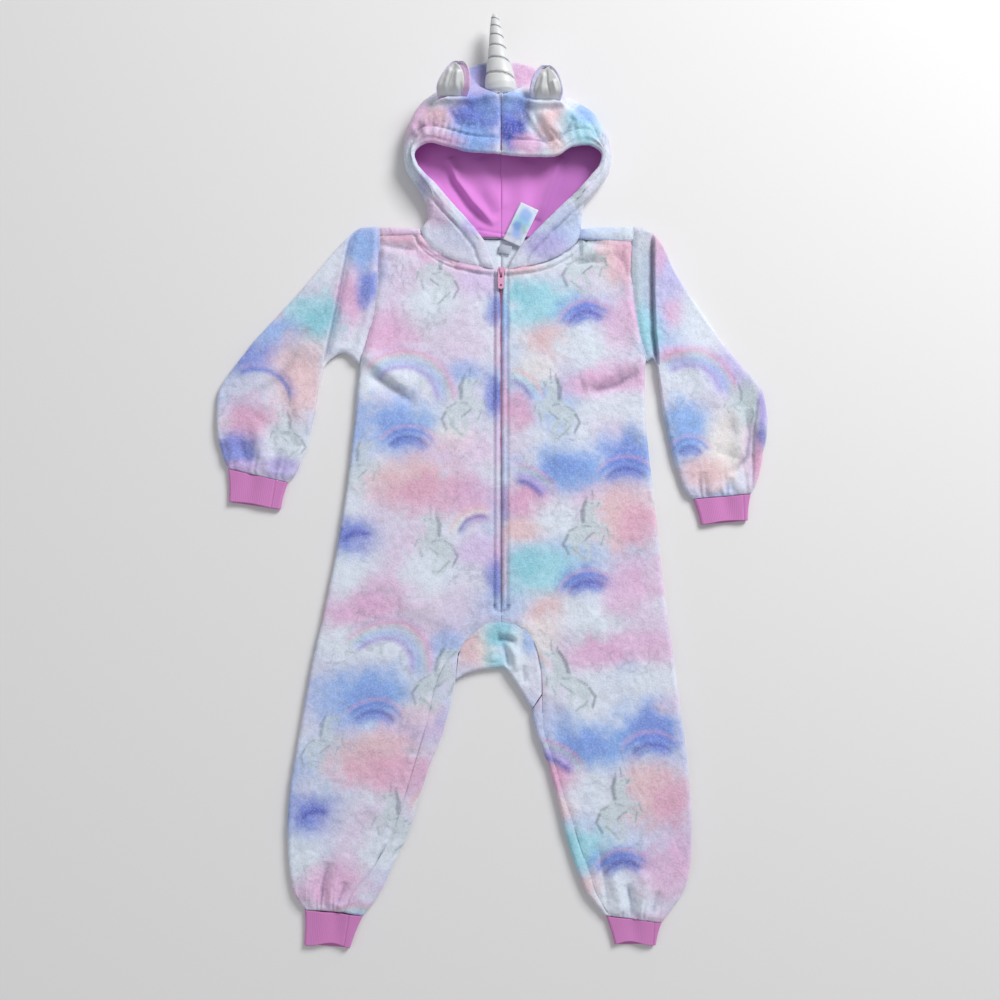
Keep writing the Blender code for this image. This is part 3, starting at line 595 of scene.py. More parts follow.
# The repeat where it runs down the right side of the body, and down the left
RIGHT_MARKS = washes(
    (-112, 758, 22, 36, PINK, 0.7), (-81, 755, 26, 18, WHITE), (-150, 707, 40, 17, PINK, 0.75),
    (-135, 664, 52, 18, WHITE, 0.8), (-52, 702, 40, 30, PINK, 0.35), (-44, 667, 17, 13, SKY, 0.6),
    (-8, 640, 11, 20, PERIWINKLE, 0.7), (-8, 744, 10, 18, PERIWINKLE, 0.6), (-174, 606, 22, 24, SKY, 0.6),
    (-120, 606, 36, 28, SKY, 0.9), (-122, 600, 20, 18, PERIWINKLE, 0.35), (-60, 588, 20, 14, CREAM, 0.6),
    (-54, 570, 40, 20, PINK, 0.45), (-108, 537, 44, 26, PEACH, 0.75), (-78, 520, 52, 22, ROSE, 0.6),
    (-30, 512, 22, 20, PINK, 0.5), (-26, 456, 24, 16, LILAC, 0.6), (-170, 470, 26, 20, PERIWINKLE, 0.85),
    (-130, 455, 30, 26, PALE, 0.6), (-180, 424, 22, 24, WHITE, 0.8), (-146, 399, 24, 20, PINK, 0.6),
    (-90, 430, 26, 24, WHITE, 0.7),
) + (
    Bow(-114, 634, 48, -10, 150, FAINT_BOW), Bow(-110, 560, 29, 25, 150, BLUE_BOW),
    Bow(-25, 470, 25, 60, 178, SMALL_BOW), Bow(-166, 452, 24, 50, 150, ((0.0, 4.0, INDIGO, 0.7),)),
    Unicorn(-44, 625, 66, 1), Unicorn(-76, 462, 64, -1), Unicorn(-166, 552, 60, 1, 0.6),
)
LEFT_MARKS = washes(
    (47, 751, 38, 26, AQUA, 0.95), (28, 762, 18, 14, TEAL, 0.6), (100, 733, 28, 20, PERIWINKLE, 0.85),
    (64, 704, 28, 18, PEACH, 0.85), (98, 694, 34, 15, WHITE, 0.9), (40, 672, 22, 18, CREAM, 0.6),
    (21, 622, 15, 20, ROSE, 0.7), (108, 652, 30, 15, PINK, 0.8), (150, 662, 40, 17, PINK, 0.75),
    (148, 625, 42, 16, WHITE, 0.8), (81, 551, 42, 22, SKY, 0.95), (72, 553, 24, 13, PERIWINKLE, 0.4),
    (152, 566, 34, 28, SKY, 0.85), (150, 566, 22, 20, PERIWINKLE, 0.6), (29, 512, 26, 20, ROSE, 0.8),
    (25, 480, 28, 12, PEACH, 0.8), (145, 494, 34, 34, PEACH, 0.8), (160, 486, 20, 24, ROSE, 0.55),
    (66, 492, 26, 20, WHITE, 0.7), (110, 392, 36, 17, WHITE, 0.9), (146, 408, 26, 28, PINK, 0.7),
    (175, 430, 20, 22, PINK, 0.5),
) + (
    Bow(16, 501, 46, 20, 98, DEEP_BOW),
    Bow(8, 628, 29, 5, 88, ((0.0, 3.2, INDIGO, 0.5), (7.0, 3.6, AQUA, 0.5), (13.0, 3.0, PEACH, 0.6))),
    Bow(104, 712, 27, 40, 165, BLUE_BOW), Bow(148, 522, 30, 35, 155, BLUE_BOW),
    Unicorn(66, 622, 68, -1, 0.85), Unicorn(100, 478, 68, 1, 0.85),
)
RIGHT_SLEEVE_MARKS = washes(
    (-164, 819, 18, 26, SKY, 0.9), (-183, 751, 15, 34, PINK, 0.9), (-160, 768, 10, 20, PERIWINKLE, 0.85),
    (-181, 706, 22, 16, WHITE, 0.6), (-211, 792, 20, 22, WHITE, 0.7), (-226, 736, 28, 26, AQUA, 0.9),
    (-219, 724, 15, 18, TEAL, 0.75), (-268, 712, 26, 18, SKY, 0.8), (-300, 684, 24, 17, PERIWINKLE, 0.75),
    (-236, 662, 30, 40, PEACH, 0.75), (-206, 660, 9, 40, WHITE, 0.6), (-300, 646, 26, 18, PALE, 0.7),
    (-299, 608, 26, 24, ROSE, 0.8), (-252, 584, 26, 18, WHITE, 0.85), (-312, 573, 24, 20, PERIWINKLE, 0.8),
    (-258, 552, 16, 12, LAVENDER, 0.8), (-308, 554, 18, 7, LILAC, 0.7),
) + (
    Bow(-290, 628, 42, 0, 130, ((0.0, 3.2, PERIWINKLE, 0.75), (6.0, 4.0, LAVENDER, 0.4))),
    Unicorn(-252, 590, 52, -1, 0.6),
)
LEFT_SLEEVE_MARKS = washes(
    (168, 790, 14, 40, SAGE, 0.5), (170, 716, 16, 26, AQUA, 0.95), (190, 812, 8, 20, ROSE, 0.6),
    (200, 768, 18, 34, LILAC, 0.4), (206, 737, 11, 13, PINK, 0.8), (240, 724, 24, 30, WHITE, 0.8),
    (204, 688, 14, 9, PINK, 0.75), (223, 650, 28, 20, WHITE, 0.8), (276, 668, 26, 22, LAVENDER, 0.6),
    (292, 628, 15, 26, SAGE, 0.7), (220, 598, 27, 30, SKY, 0.95), (262, 576, 20, 36, CREAM, 0.8),
    (238, 546, 24, 18, PEACH, 0.8), (296, 566, 10, 32, PINK, 0.35), (311, 626, 6, 22, LAVENDER, 0.9),
    (308, 590, 5, 14, INDIGO, 0.7), (305, 556, 6, 22, ROSE, 0.8),
) + (
    Bow(224, 640, 44, -6, 140, FAINT_BOW), Bow(224, 562, 15, 20, 165, BLUE_BOW),
    Unicorn(282, 626, 46, -1, 0.6),
)
RIGHT_HOOD_MARKS = washes(
    (-93, 963, 24, 22, PINK, 0.85), (-70, 971, 15, 13, PEACH, 0.7), (-66, 988, 18, 8, WHITE, 0.7),
    (-26, 964, 30, 28, PERIWINKLE, 0.95), (-34, 944, 28, 14, SKY, 0.9), (-24, 968, 18, 16, INDIGO, 0.3),
    (-14, 976, 14, 14, SKY, 0.5), (-74, 940, 22, 9, PINK, 0.8), (-28, 1036, 12, 9, INDIGO, 0.6),
    (-26, 1016, 12, 16, LAVENDER, 0.8), (-60, 842, 24, 26, PALE, 0.7), (-75, 860, 16, 14, PINK, 0.5),
    (-39, 842, 9, 8, LAVENDER, 0.6), (-106, 915, 14, 26, WHITE, 0.7), (-92, 892, 7, 12, LAVENDER, 0.5),
    (-50, 862, 12, 12, WHITE, 0.6),
)
LEFT_HOOD_MARKS = washes(
    (8, 962, 20, 24, PERIWINKLE, 0.95), (18, 985, 22, 12, SKY, 0.7), (10, 948, 13, 16, INDIGO, 0.75),
    (26, 958, 10, 10, INDIGO, 0.4), (26, 972, 12, 12, INDIGO, 0.5), (46, 966, 12, 18, WHITE, 0.85),
    (62, 958, 14, 18, PEACH, 0.8), (36, 934, 16, 10, PINK, 0.85), (64, 936, 12, 11, PEACH, 0.7),
    (97, 952, 22, 20, AQUA, 0.9), (104, 974, 14, 13, SKY, 0.8), (31, 1030, 22, 18, PINK, 0.9),
    (62, 1012, 16, 15, LILAC, 0.7), (56, 820, 20, 16, LAVENDER, 0.8), (80, 846, 18, 17, SKY, 0.35),
    (118, 905, 14, 26, WHITE, 0.7), (92, 880, 7, 12, SAGE, 0.5),
)
GUSSET_MARKS = washes(
    (-34, 340, 18, 18, PEACH, 0.8), (-14, 340, 12, 26, CREAM, 0.7), (4, 356, 18, 16, TEAL, 0.9),
    (-2, 326, 14, 12, AQUA, 0.85), (20, 330, 14, 30, WHITE, 0.8), (34, 350, 8, 14, SKY, 0.6),
)
# What only the fronts have: the roll along the neck and the zip's edges
RIGHT_OWN = washes(
    (-74, 810, 24, 8, PINK, 0.7), (-34, 797, 24, 6, ROSE, 0.6), (-5, 742, 5, 24, INDIGO, 0.4),
    (-5, 700, 4, 28, ROSE, 0.4), (-6, 640, 5, 22, INDIGO, 0.45), (-4, 590, 4, 26, LILAC, 0.5),
    (-4, 470, 4, 40, ROSE, 0.3), (-5, 420, 5, 20, PERIWINKLE, 0.6),
)
LEFT_OWN = washes(
    (20, 797, 16, 6, ROSE, 0.55), (64, 806, 30, 8, WHITE, 0.5), (4, 732, 5, 26, SKY, 0.7),
    (4, 690, 4, 24, LAVENDER, 0.5), (4, 640, 4, 30, PINK, 0.6), (5, 560, 4, 30, SKY, 0.3),
    (4, 505, 4, 22, INDIGO, 0.4), (4, 440, 4, 30, ROSE, 0.45),
)
RIGHT_BACK_OWN = washes(
    (-125, 838, 34, 14, PINK, 0.6), (-78, 300, 14, 26, SAGE, 0.4), (-100, 220, 16, 40, WHITE, 0.7),
    (-140, 110, 20, 40, WHITE, 0.6),
)
LEFT_BACK_OWN = washes(
    (128, 838, 40, 14, WHITE, 0.7), (110, 846, 30, 6, SKY, 0.5), (60, 220, 10, 34, LAVENDER, 0.6),
    (95, 110, 12, 50, PINK, 0.35), (45, 272, 8, 22, WHITE, 0.7),
)
REVERSE = WHITE
LINING_DYE = (0.80, 0.28, 0.76)
SATIN_DYE = (0.68, 0.69, 0.68)


# ---- shader groups and finishes


class NodeGroup:
    """A shader node group that gives a colour, a roughness and a height."""

    def __init__(self, name: str, inputs: dict[str, float | tuple[float, ...]]) -> None:
        """Makes the empty group.

        Args:
            name: the group's name.
            inputs: the value of each input: a colour or a number.
        """
        self.tree = bpy.data.node_groups.new(name, "ShaderNodeTree")
        for label, value in inputs.items():
            kind = "NodeSocketColor" if isinstance(value, tuple) else "NodeSocketFloat"
            socket = self.tree.interface.new_socket(label, in_out="INPUT", socket_type=kind)
            socket.default_value = value
        for label, kind in (("Colour", "Color"), ("Roughness", "Float"), ("Height", "Float")):
            self.tree.interface.new_socket(label, in_out="OUTPUT", socket_type=f"NodeSocket{kind}")
        self.given = self.add("NodeGroupInput").outputs
        self.target = self.add("NodeGroupOutput")
        self.place = self.add("ShaderNodeTexCoord").outputs["Object"]

    def add(self, kind: str, **settings: object) -> bpy.types.Node:
        """Adds a node.

        Args:
            kind: its type in Blender.
            settings: its settings.

        Returns:
            The new node.
        """
        node = self.tree.nodes.new(kind)
        for key, value in settings.items():
            setattr(node, key, value)
        return node

    def feed(self, socket: Socket, value: Socket | float | tuple[float, ...]) -> None:
        """Links a socket to a result, or sets it to a value.

        Args:
            socket: the input.
            value: a result or a constant.
        """
        if isinstance(value, (int, float, tuple)):
            socket.default_value = value
        else:
            self.tree.links.new(value, socket)

    def noise(self, scale: float | Socket, detail: float) -> Socket:
        """Noise in space.

        Args:
            scale: waves to the metre.
            detail: how many finer waves are added.

        Returns:
            The noise, from 0 to 1.
        """
        node = self.add("ShaderNodeTexNoise")
        for label, value in (("Detail", detail), ("Scale", scale), ("Vector", self.place)):
            self.feed(node.inputs[label], value)
        return node.outputs["Fac"]

    def waves(self, direction: str, scale: Socket, distortion: float) -> Socket:
        """Bands across a direction.

        Args:
            direction: X, Y or Z.
            scale: bands to the metre.
            distortion: how much they waver.

        Returns:
            The bands, from 0 to 1.
        """
        node = self.add("ShaderNodeTexWave", wave_type="BANDS", bands_direction=direction)
        for label, value in (("Distortion", distortion), ("Vector", self.place), ("Scale", scale)):
            self.feed(node.inputs[label], value)
        return node.outputs["Fac"]

    def math(self, operation: str, *values: float | Socket) -> Socket:
        """A step on numbers.

        Args:
            operation: its name in Blender.
            values: the numbers or results it takes.

        Returns:
            Its result.
        """
        node = self.add("ShaderNodeMath", operation=operation)
        for socket, value in zip(node.inputs, values):
            self.feed(socket, value)
        return node.outputs[0]

    def times(self, *values: float | Socket) -> Socket:
        """The product of two values."""
        return self.math("MULTIPLY", *values)

    def blend(self, first: Socket, one: float, second: Socket, two: float) -> Socket:
        """A sum of two values, each by its share."""
        return self.math("ADD", self.times(first, one), self.times(second, two))

    def mix(self, share: Socket, first: Socket, second: tuple[float, ...], way: str = "MIX") -> Socket:
        """A colour mixed into another by share.

        Args:
            share: how much of the second shows.
            first: colour at share 0.
            second: colour at share 1.
            way: how they blend.

        Returns:
            The mixed colour.
        """
        node = self.add("ShaderNodeMix", data_type="RGBA", blend_type=way)
        for place, value in ((0, share), (6, first), (7, second)):
            self.feed(node.inputs[place], value)
        return node.outputs[2]

    def give(self, colour: Socket, rough: Socket, spread: float, least: float | Socket,
             height: Socket) -> None:
        """Gives the results.

        Args:
            colour: what feeds Base Color.
            rough: noise that the roughness follows.
            spread: how much of it shows.
            least: the roughness where there is none.
            height: what feeds a bump.
        """
        rough = self.math("ADD", self.times(rough, spread), least)
        for socket, value in zip(self.target.inputs, (colour, rough, height)):
            self.feed(socket, value)


def pile_group() -> None:
    """Coral fleece: tufts of fine fibre, with painted highlights at their tips and painted shade between
    them.
    """
    group = NodeGroup("pile", {"Cloth": (0.8, 0.8, 0.8, 1.0), "Contrast": 0.35})
    fibre = group.noise(1150.0, 2.0)
    height = group.blend(group.noise(470.0, 3.0), 0.62, fibre, 0.38)
    spread = group.times(group.math("SUBTRACT", height, 0.5), 2.6)
    strength = group.times(spread, group.given["Contrast"])
    # Painted shade where the tufts are low, and a painted highlight where they stand high.
    dark = group.math("MAXIMUM", group.times(strength, -1.0), 0.0)
    cloth = group.mix(dark, group.given["Cloth"], (0.30, 0.28, 0.36, 1.0), "MULTIPLY")
    cloth = group.mix(group.math("MAXIMUM", strength, 0.0), cloth, (0.93, 0.93, 0.97, 1.0))
    group.give(cloth, fibre, 0.12, 0.84, height)


def knit_group() -> None:
    """Fine knit: rows of small loops, a little uneven."""
    group = NodeGroup("knit", {"Cloth": (0.8, 0.4, 0.7, 1.0), "Loops": 700.0, "Contrast": 0.2})
    loops, worn = group.noise(group.given["Loops"], 1.0), group.noise(26.0, 3.0)
    wave = group.waves("X", group.times(group.given["Loops"], 0.32), 1.5)
    height = group.blend(loops, 0.5, wave, 0.5)
    shade = group.blend(height, 0.6, worn, 0.6)
    dark = group.times(group.math("SUBTRACT", 1.1, shade), group.given["Contrast"])
    cloth = group.mix(dark, group.given["Cloth"], (0.35, 0.20, 0.40, 1.0), "MULTIPLY")
    group.give(cloth, worn, 0.1, 0.78, height)


def weave_group() -> None:
    """Woven satin or tape: fine crossing threads and soft cloudy shine."""
    group = NodeGroup("weave", {"Cloth": (0.8, 0.8, 0.8, 1.0), "Threads": 900.0, "Contrast": 0.2,
                                "Gloss": 0.35})
    threads = [group.waves(way, group.times(group.given["Threads"], 0.3), 0.6)
               for way in ("DIAGONAL", "Y")]
    cloud = group.noise(75.0, 4.0)
    height = group.times(group.math("ADD", *threads), 0.5)
    shade = group.blend(height, 0.4, cloud, 0.6)
    dark = group.times(group.math("SUBTRACT", 1.0, shade), group.given["Contrast"])
    cloth = group.mix(dark, group.given["Cloth"], (0.30, 0.30, 0.34, 1.0), "MULTIPLY")
    group.give(cloth, cloud, 0.22, group.given["Gloss"], height)


def wear_group() -> None:
    """Lacquered metal: faint scuffs through a smooth coat."""
    group = NodeGroup("scuffs", {"Coat": (0.8, 0.4, 0.6, 1.0), "Amount": 0.2})
    fine, broad = group.noise(1600.0, 4.0), group.noise(240.0, 3.0)
    spots = group.math("GREATER_THAN", group.times(fine, broad), 0.36)
    coat = group.mix(group.times(spots, group.given["Amount"]), group.given["Coat"],
                     (0.75, 0.72, 0.74, 1.0))
    group.give(coat, broad, 0.25, 0.22, fine)


class Effect(Enum):
    """The shader groups a finish can use."""

    PILE = "pile"
    KNIT = "knit"
    WEAVE = "weave"
    SCUFFS = "scuffs"


GROUP_MAKERS: dict[Effect, Callable[[], None]] = dict(
    zip(Effect, (pile_group, knit_group, weave_group, wear_group)))


@dataclass(frozen=True)
class Finish:
    """One finish: a colour, or the cloth's own print, with an effect and its values."""

    name: str
    effect: Effect
    colour: Spot | None
    values: dict[str, float] = field(default_factory=dict)
    bump_depth: float = 0.0004
    bump_strength: float = 0.5
    sheen: float = 0.0
    sheen_roughness: float = 0.5
    specular: float = 0.3

    def material(self) -> bpy.types.Material:
        """The material, made at the first call."""
        found = bpy.data.materials.get(self.name)
        if found is not None:
            return found
        if self.effect.value not in bpy.data.node_groups:
            GROUP_MAKERS[self.effect]()
        made = bpy.data.materials.new(self.name)
        made.use_nodes = True
        tree, link = made.node_tree, made.node_tree.links.new
        given = tree.nodes["Principled BSDF"].inputs
        group = tree.nodes.new("ShaderNodeGroup")
        group.node_tree = bpy.data.node_groups[self.effect.value]
        for label, value in self.values.items():
            group.inputs[label].default_value = value
        if self.colour is None:
            dye = tree.nodes.new("ShaderNodeAttribute")
            dye.attribute_name = "print"
            link(dye.outputs["Color"], group.inputs[0])
        else:
            group.inputs[0].default_value = (*self.colour, 1.0)
        relief = tree.nodes.new("ShaderNodeBump")
        relief.inputs["Strength"].default_value = self.bump_strength
        relief.inputs["Distance"].default_value = self.bump_depth
        for result, socket in (("Colour", given["Base Color"]), ("Roughness", given["Roughness"]),
                               ("Height", relief.inputs["Height"])):
            link(group.outputs[result], socket)
        link(relief.outputs["Normal"], given["Normal"])
        given["Sheen Weight"].default_value = self.sheen
        given["Sheen Roughness"].default_value = self.sheen_roughness
        given["Specular IOR Level"].default_value = self.specular
        return made


FLEECE = Finish("coral_fleece", Effect.PILE, None, {"Contrast": 0.5}, 0.0012, 0.6, 0.4, 0.5, 0.15)
RIB = Finish("rib_knit", Effect.KNIT, (0.66, 0.25, 0.55), {"Loops": 900.0, "Contrast": 0.2},
             0.0003, 0.4, 0.15, 0.5, 0.2)
JERSEY = Finish("lining_jersey", Effect.KNIT, None, {"Loops": 1400.0, "Contrast": 0.25},
                0.0002, 0.3, 0.15, 0.5, 0.2)
SATIN = Finish("silver_satin", Effect.WEAVE, None,
               {"Threads": 1500.0, "Contrast": 0.18, "Gloss": 0.3}, 0.0001, 0.25, 0.2, 0.3, 0.6)
LABEL = Finish("label_satin", Effect.WEAVE, None, {"Threads": 1800.0, "Contrast": 0.06, "Gloss": 0.4},
               0.0001, 0.2, 0.1, 0.4, 0.4)
TAPE = Finish("zip_tape_weave", Effect.WEAVE, (0.58, 0.20, 0.38),
              {"Threads": 1300.0, "Contrast": 0.5, "Gloss": 0.6}, 0.0002, 0.4, 0.1, 0.5, 0.25)
TEETH = Finish("zip_teeth_nylon", Effect.SCUFFS, (0.55, 0.22, 0.40), {"Amount": 0.1}, 0.00005, 0.2)
LACQUER = Finish("zip_lacquer", Effect.SCUFFS, (0.74, 0.36, 0.55), {"Amount": 0.35}, 0.00004, 0.2,
                 specular=0.5)
SILVER_THREAD = Finish("horn_thread", Effect.WEAVE, (0.34, 0.34, 0.35),
                       {"Threads": 2500.0, "Contrast": 0.3, "Gloss": 0.3}, 0.0001, 0.3, 0.0, 0.5, 0.6)


# ---- making cloth


class Facing(Enum):
    """Which way a grid's outside looks, so that its cloth gets its depth on the right side."""

    UP = "up"
    DOWN = "down"
    ROUND = "round"
    HOLLOW = "hollow"


def cell_corners(cells: Array, columns: int) -> Array:
    """Numbers the corners of a grid's cells.

    Args:
        cells: which cells to take.
        columns: how many columns the grid has.

    Returns:
        Four corner numbers for each cell.
    """
    r, c = np.nonzero(cells)
    after = (c + 1) % columns
    return np.stack([r * columns + c, r * columns + after, (r + 1) * columns + after,
                     (r + 1) * columns + c], axis=1)


class Cloth:
    """Turns grids of points into closed pieces of cloth on the garment."""

    @staticmethod
    def to_world(points: Array) -> Array:
        """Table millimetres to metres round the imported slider.

        Args:
            points: points of the tables.

        Returns:
            The same points in the world.
        """
        low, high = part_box("zip_slider")
        middle = (np.array(low) + np.array(high)) / 2
        shift = np.array([middle[0], middle[1] - SLIDER_Y * MM, 0.0])
        return np.asarray(points, float) * MM + shift

    @staticmethod
    def outside(grid: Array, facing: Facing, tube: bool = False) -> Array:
        """Unit vectors out of a grid.

        Args:
            grid: rows of points.
            facing: which way the cloth looks.
            tube: whether each row closes on itself.

        Returns:
            A vector at each point.
        """
        if tube:
            across = (np.roll(grid, -1, axis=1) - np.roll(grid, 1, axis=1)) / 2
        else:
            across = np.gradient(grid, axis=1)
        out = unit(np.cross(np.gradient(grid, axis=0), across))
        if facing in (Facing.UP, Facing.DOWN):
            sense = out[..., 2].sum() * (1 if facing is Facing.UP else -1)
        else:
            sense = (out[..., 2] * (grid[..., 2] - grid[..., 2].mean())).sum()
            sense *= 1 if facing is Facing.ROUND else -1
        return out if sense > 0 else -out

    @staticmethod
    def mesh(name: str, vertices: Array, faces: list[list[int]],
             colour: Array | None = None) -> Piece:
        """A smooth mesh object in the scene.

        Args:
            name: the piece's name.
            vertices: points in table millimetres.
            faces: corner numbers of each face.
            colour: linear colour of each point.

        Returns:
            The object.
        """
        mesh = bpy.data.meshes.new(name)
        mesh.from_pydata(Cloth.to_world(vertices).tolist(), [], faces)
        mesh.shade_smooth()
        if colour is not None:
            attribute = mesh.color_attributes.new("print", "FLOAT_COLOR", "POINT")
            full = np.ones((len(vertices), 4), np.float32)
            full[:, :3] = colour
            attribute.data.foreach_set("color", full.ravel())
        piece = bpy.data.objects.new(name, mesh)
        bpy.context.scene.collection.objects.link(piece)
        return piece

    @staticmethod
    def shell(name: str, outer: Array, out: Array, wall: float, step: int, tube: bool = False,
              missing: Array | None = None, colour: Array | None = None,
              reverse: Array | None = None) -> Piece:
        """A closed wall of cloth under a grid.

        Args:
            name: the piece's name.
            outer: the grid of its outside, (rows, columns, 3).
            out: unit vectors out of it.
            wall: thickness.
            step: points of the outside to one of the inside.
            tube: whether the last column joins the first.
            missing: cells of the inside that are left out.
            colour: print on the outside.
            reverse: colour of the inside.

        Returns:
            The object.
        """
        rows, columns = outer.shape[:2]
        wide = columns if tube else columns - 1
        cells = np.ones(((rows - 1) // step, wide // step), bool)
        if missing is not None:
            cells &= ~missing
        quads = cell_corners(np.repeat(np.repeat(cells, step, axis=0), step, axis=1), columns)
        inside = (outer - out * wall)[::step, ::step]
        low_columns, start = inside.shape[1], rows * columns
        low = cell_corners(cells, low_columns)[:, [0, 3, 2, 1]]
        ends = np.concatenate([low[:, [k, (k + 1) % 4]] for k in range(4)])
        size = low_columns * (inside.shape[0] + 1)
        rim = ends[~np.isin(ends[:, 0] * size + ends[:, 1], ends[:, 1] * size + ends[:, 0])]
        faces = quads.tolist() + (low + start).tolist()
        for a, b in rim.tolist():
            (ra, ca), (rb, cb) = divmod(a, low_columns), divmod(b, low_columns)
            down, right = int(np.sign(rb - ra)), int(np.sign(cb - ca))
            if tube and abs(cb - ca) > 1:
                right = -right
            faces.append([b + start, a + start, *(
                (ra * step + down * k) * columns + (ca * step + right * k) % columns
                for k in range(step + 1))])
        vertices = np.concatenate([outer.reshape(-1, 3), inside.reshape(-1, 3)])
        a, b, d = (vertices[quads[:, k]] for k in (0, 1, 3))
        looks_in = (np.cross(b - a, d - a) * out.reshape(-1, 3)[quads[:, 0]]).sum() < 0
        if colour is not None:
            back = np.broadcast_to(REVERSE.linear() if reverse is None else reverse,
                                   (inside.shape[0] * low_columns, 3))
            colour = np.concatenate([colour.reshape(-1, 3), back])
        used = np.zeros(len(vertices), bool)
        used[quads.ravel()] = used[low.ravel() + start] = True
        number = (np.cumsum(used) - 1).tolist()
        way = -1 if looks_in else 1
        faces = [[number[k] for k in face[::way]] for face in faces]
        return Cloth.mesh(name, vertices[used], faces, None if colour is None else colour[used])

    @staticmethod
    def pile(grid: Array, depth: float = 0.32) -> Array:
        """How far the tufts of the pile stand out at points."""
        return depth * (PILE_NOISE.at(grid, 4.2) + 0.7 * PILE_NOISE.at(grid + 90.0, 7.5))

    @staticmethod
    def attach(piece: Piece, finish: Finish, slot: str, nodes: Sequence[str] = ()) -> Piece:
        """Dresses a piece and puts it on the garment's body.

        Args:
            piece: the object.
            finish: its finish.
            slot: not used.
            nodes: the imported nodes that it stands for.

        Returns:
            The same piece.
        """
        piece.data.materials.append(finish.material())
        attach(piece, "garment")
        if nodes:
            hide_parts(*nodes)
        LOG.info("%s: %s, %d faces", piece.name, finish.name, len(piece.data.polygons))
        return piece


def lifted(grid: Array) -> Array:
    """0 where cloth lies on the floor, 1 on the upper layer."""
    return fade((grid[..., 2] - EDGE) / EDGE)


def fleece(name: str, node: str, grid: Array, out: Array, colour: Array,
           shade: tuple[Array | float, Sequence[Fold]] = (0.0, ()), wall: float = FLEECE_WALL,
           **shape: bool | Array) -> Piece:
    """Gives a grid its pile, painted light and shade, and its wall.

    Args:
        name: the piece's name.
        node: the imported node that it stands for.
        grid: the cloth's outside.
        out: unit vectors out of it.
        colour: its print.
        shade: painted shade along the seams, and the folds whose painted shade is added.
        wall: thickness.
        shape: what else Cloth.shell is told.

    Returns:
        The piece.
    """
    pile = Cloth.pile(grid) * fade((grid[..., 2] + 0.5) / 3)
    # Painted light and shade: lighter where the tufts stand out, darker in the hollows between them.
    colour *= (1 + PILE_SHADE * pile)[..., None]
    shaded(colour, grid[..., :2], shade[1], shade[0])
    shown = grid + out * pile[..., None]
    shown[..., 2] = np.maximum(shown[..., 2], LEAST_Z)
    piece = Cloth.shell(name, shown, out, wall, 2, colour=colour, **shape)
    return Cloth.attach(piece, FLEECE, "fleece", [node])


def turned(path: Array, radius: float, depth: float = 0.0) -> tuple[Array, Array]:
    """Cloth that turns round a side: positive lengths go over the top, 0 is its outermost line.

    Args:
        path: lengths along the cloth.
        radius: radius of the turn.
        depth: how far inside the outer face.

    Returns:
        Distance in from the side, and height, at each length.
    """
    path = np.asarray(path, float)
    angle = np.clip(path / radius, -math.pi / 2, math.pi / 2)
    beyond = np.maximum(0.0, np.abs(path) - math.pi / 2 * radius)
    r = radius - depth
    return radius - r * np.cos(angle) + beyond, radius + r * np.sin(angle)


def quarter(radius: float) -> float:
    """Path length from the outermost line to where the cloth lies flat."""
    return math.pi / 2 * radius


# ---- body


@dataclass(frozen=True)
class Side:
    """One side of the body: armhole ends, and the silhouette of body and leg.

    inseam holds points of the leg's inner silhouette with points of the seam, which is
    rolled on to the front.
    """

    word: str
    sign: int
    tip: Point
    pit: Point
    bow: float
    shoulder_roll: float
    side_seam: tuple[Point, ...]
    inseam: tuple[tuple[float, float, float, float], ...]
    leg_rows: tuple[float, ...]
    hem: Point

    def side_x(self, y: float) -> float:
        """x of the side seam's silhouette at a height."""
        table = self.side_seam[::-1]
        return float(np.interp(y, [row[0] for row in table], [row[1] for row in table]))

    def armhole(self, share: float, grow: float = 0.0) -> Array:
        """A point of the armhole seam.

        Args:
            share: how far down it lies from the shoulder tip.
            grow: how far it is moved out.

        Returns:
            The point.
        """
        tip, pit = np.array(self.tip), np.array(self.pit)
        chord = pit - tip
        normal = np.array([-chord[1], chord[0]]) / np.linalg.norm(chord)
        return (tip + chord * share + normal * self.bow * 4 * share * (1 - share)
                + np.array([self.sign * grow, 0.0]))

    def armhole_length(self) -> float:
        """Straight length of the armhole."""
        return math.dist(self.tip, self.pit)

    def arm_line(self) -> Array:
        """Points along the armhole seam."""
        return np.array([self.armhole(share) for share in np.linspace(0, 1, 14)])

    def shoulder_line(self) -> Array:
        """Both ends of the shoulder seam on the front."""
        return np.array([self.neckline(self.shoulder_roll, FRONT_DROP),
                         self.armhole(self.shoulder_roll / self.armhole_length())])

    def neckline(self, inward: Array | float, drop: float, grow: float = 0.0) -> Array:
        """Points of the neckline.

        Args:
            inward: how far along it from the shoulder's neck point.
            drop: how low it hangs at the middle.
            grow: how far they are moved out.

        Returns:
            The points.
        """
        angle = np.minimum(1.0, np.asarray(inward) / neck_length(drop)) * math.pi / 2
        return np.stack([self.sign * (NECK_HALF + grow) * np.cos(angle),
                         SHOULDER_Y - (drop + grow) * np.sin(angle)], axis=-1)


def neck_length(drop: float) -> float:
    """Length of half a neckline of this depth."""
    return math.pi / 2 * math.sqrt((NECK_HALF ** 2 + drop ** 2) / 2)


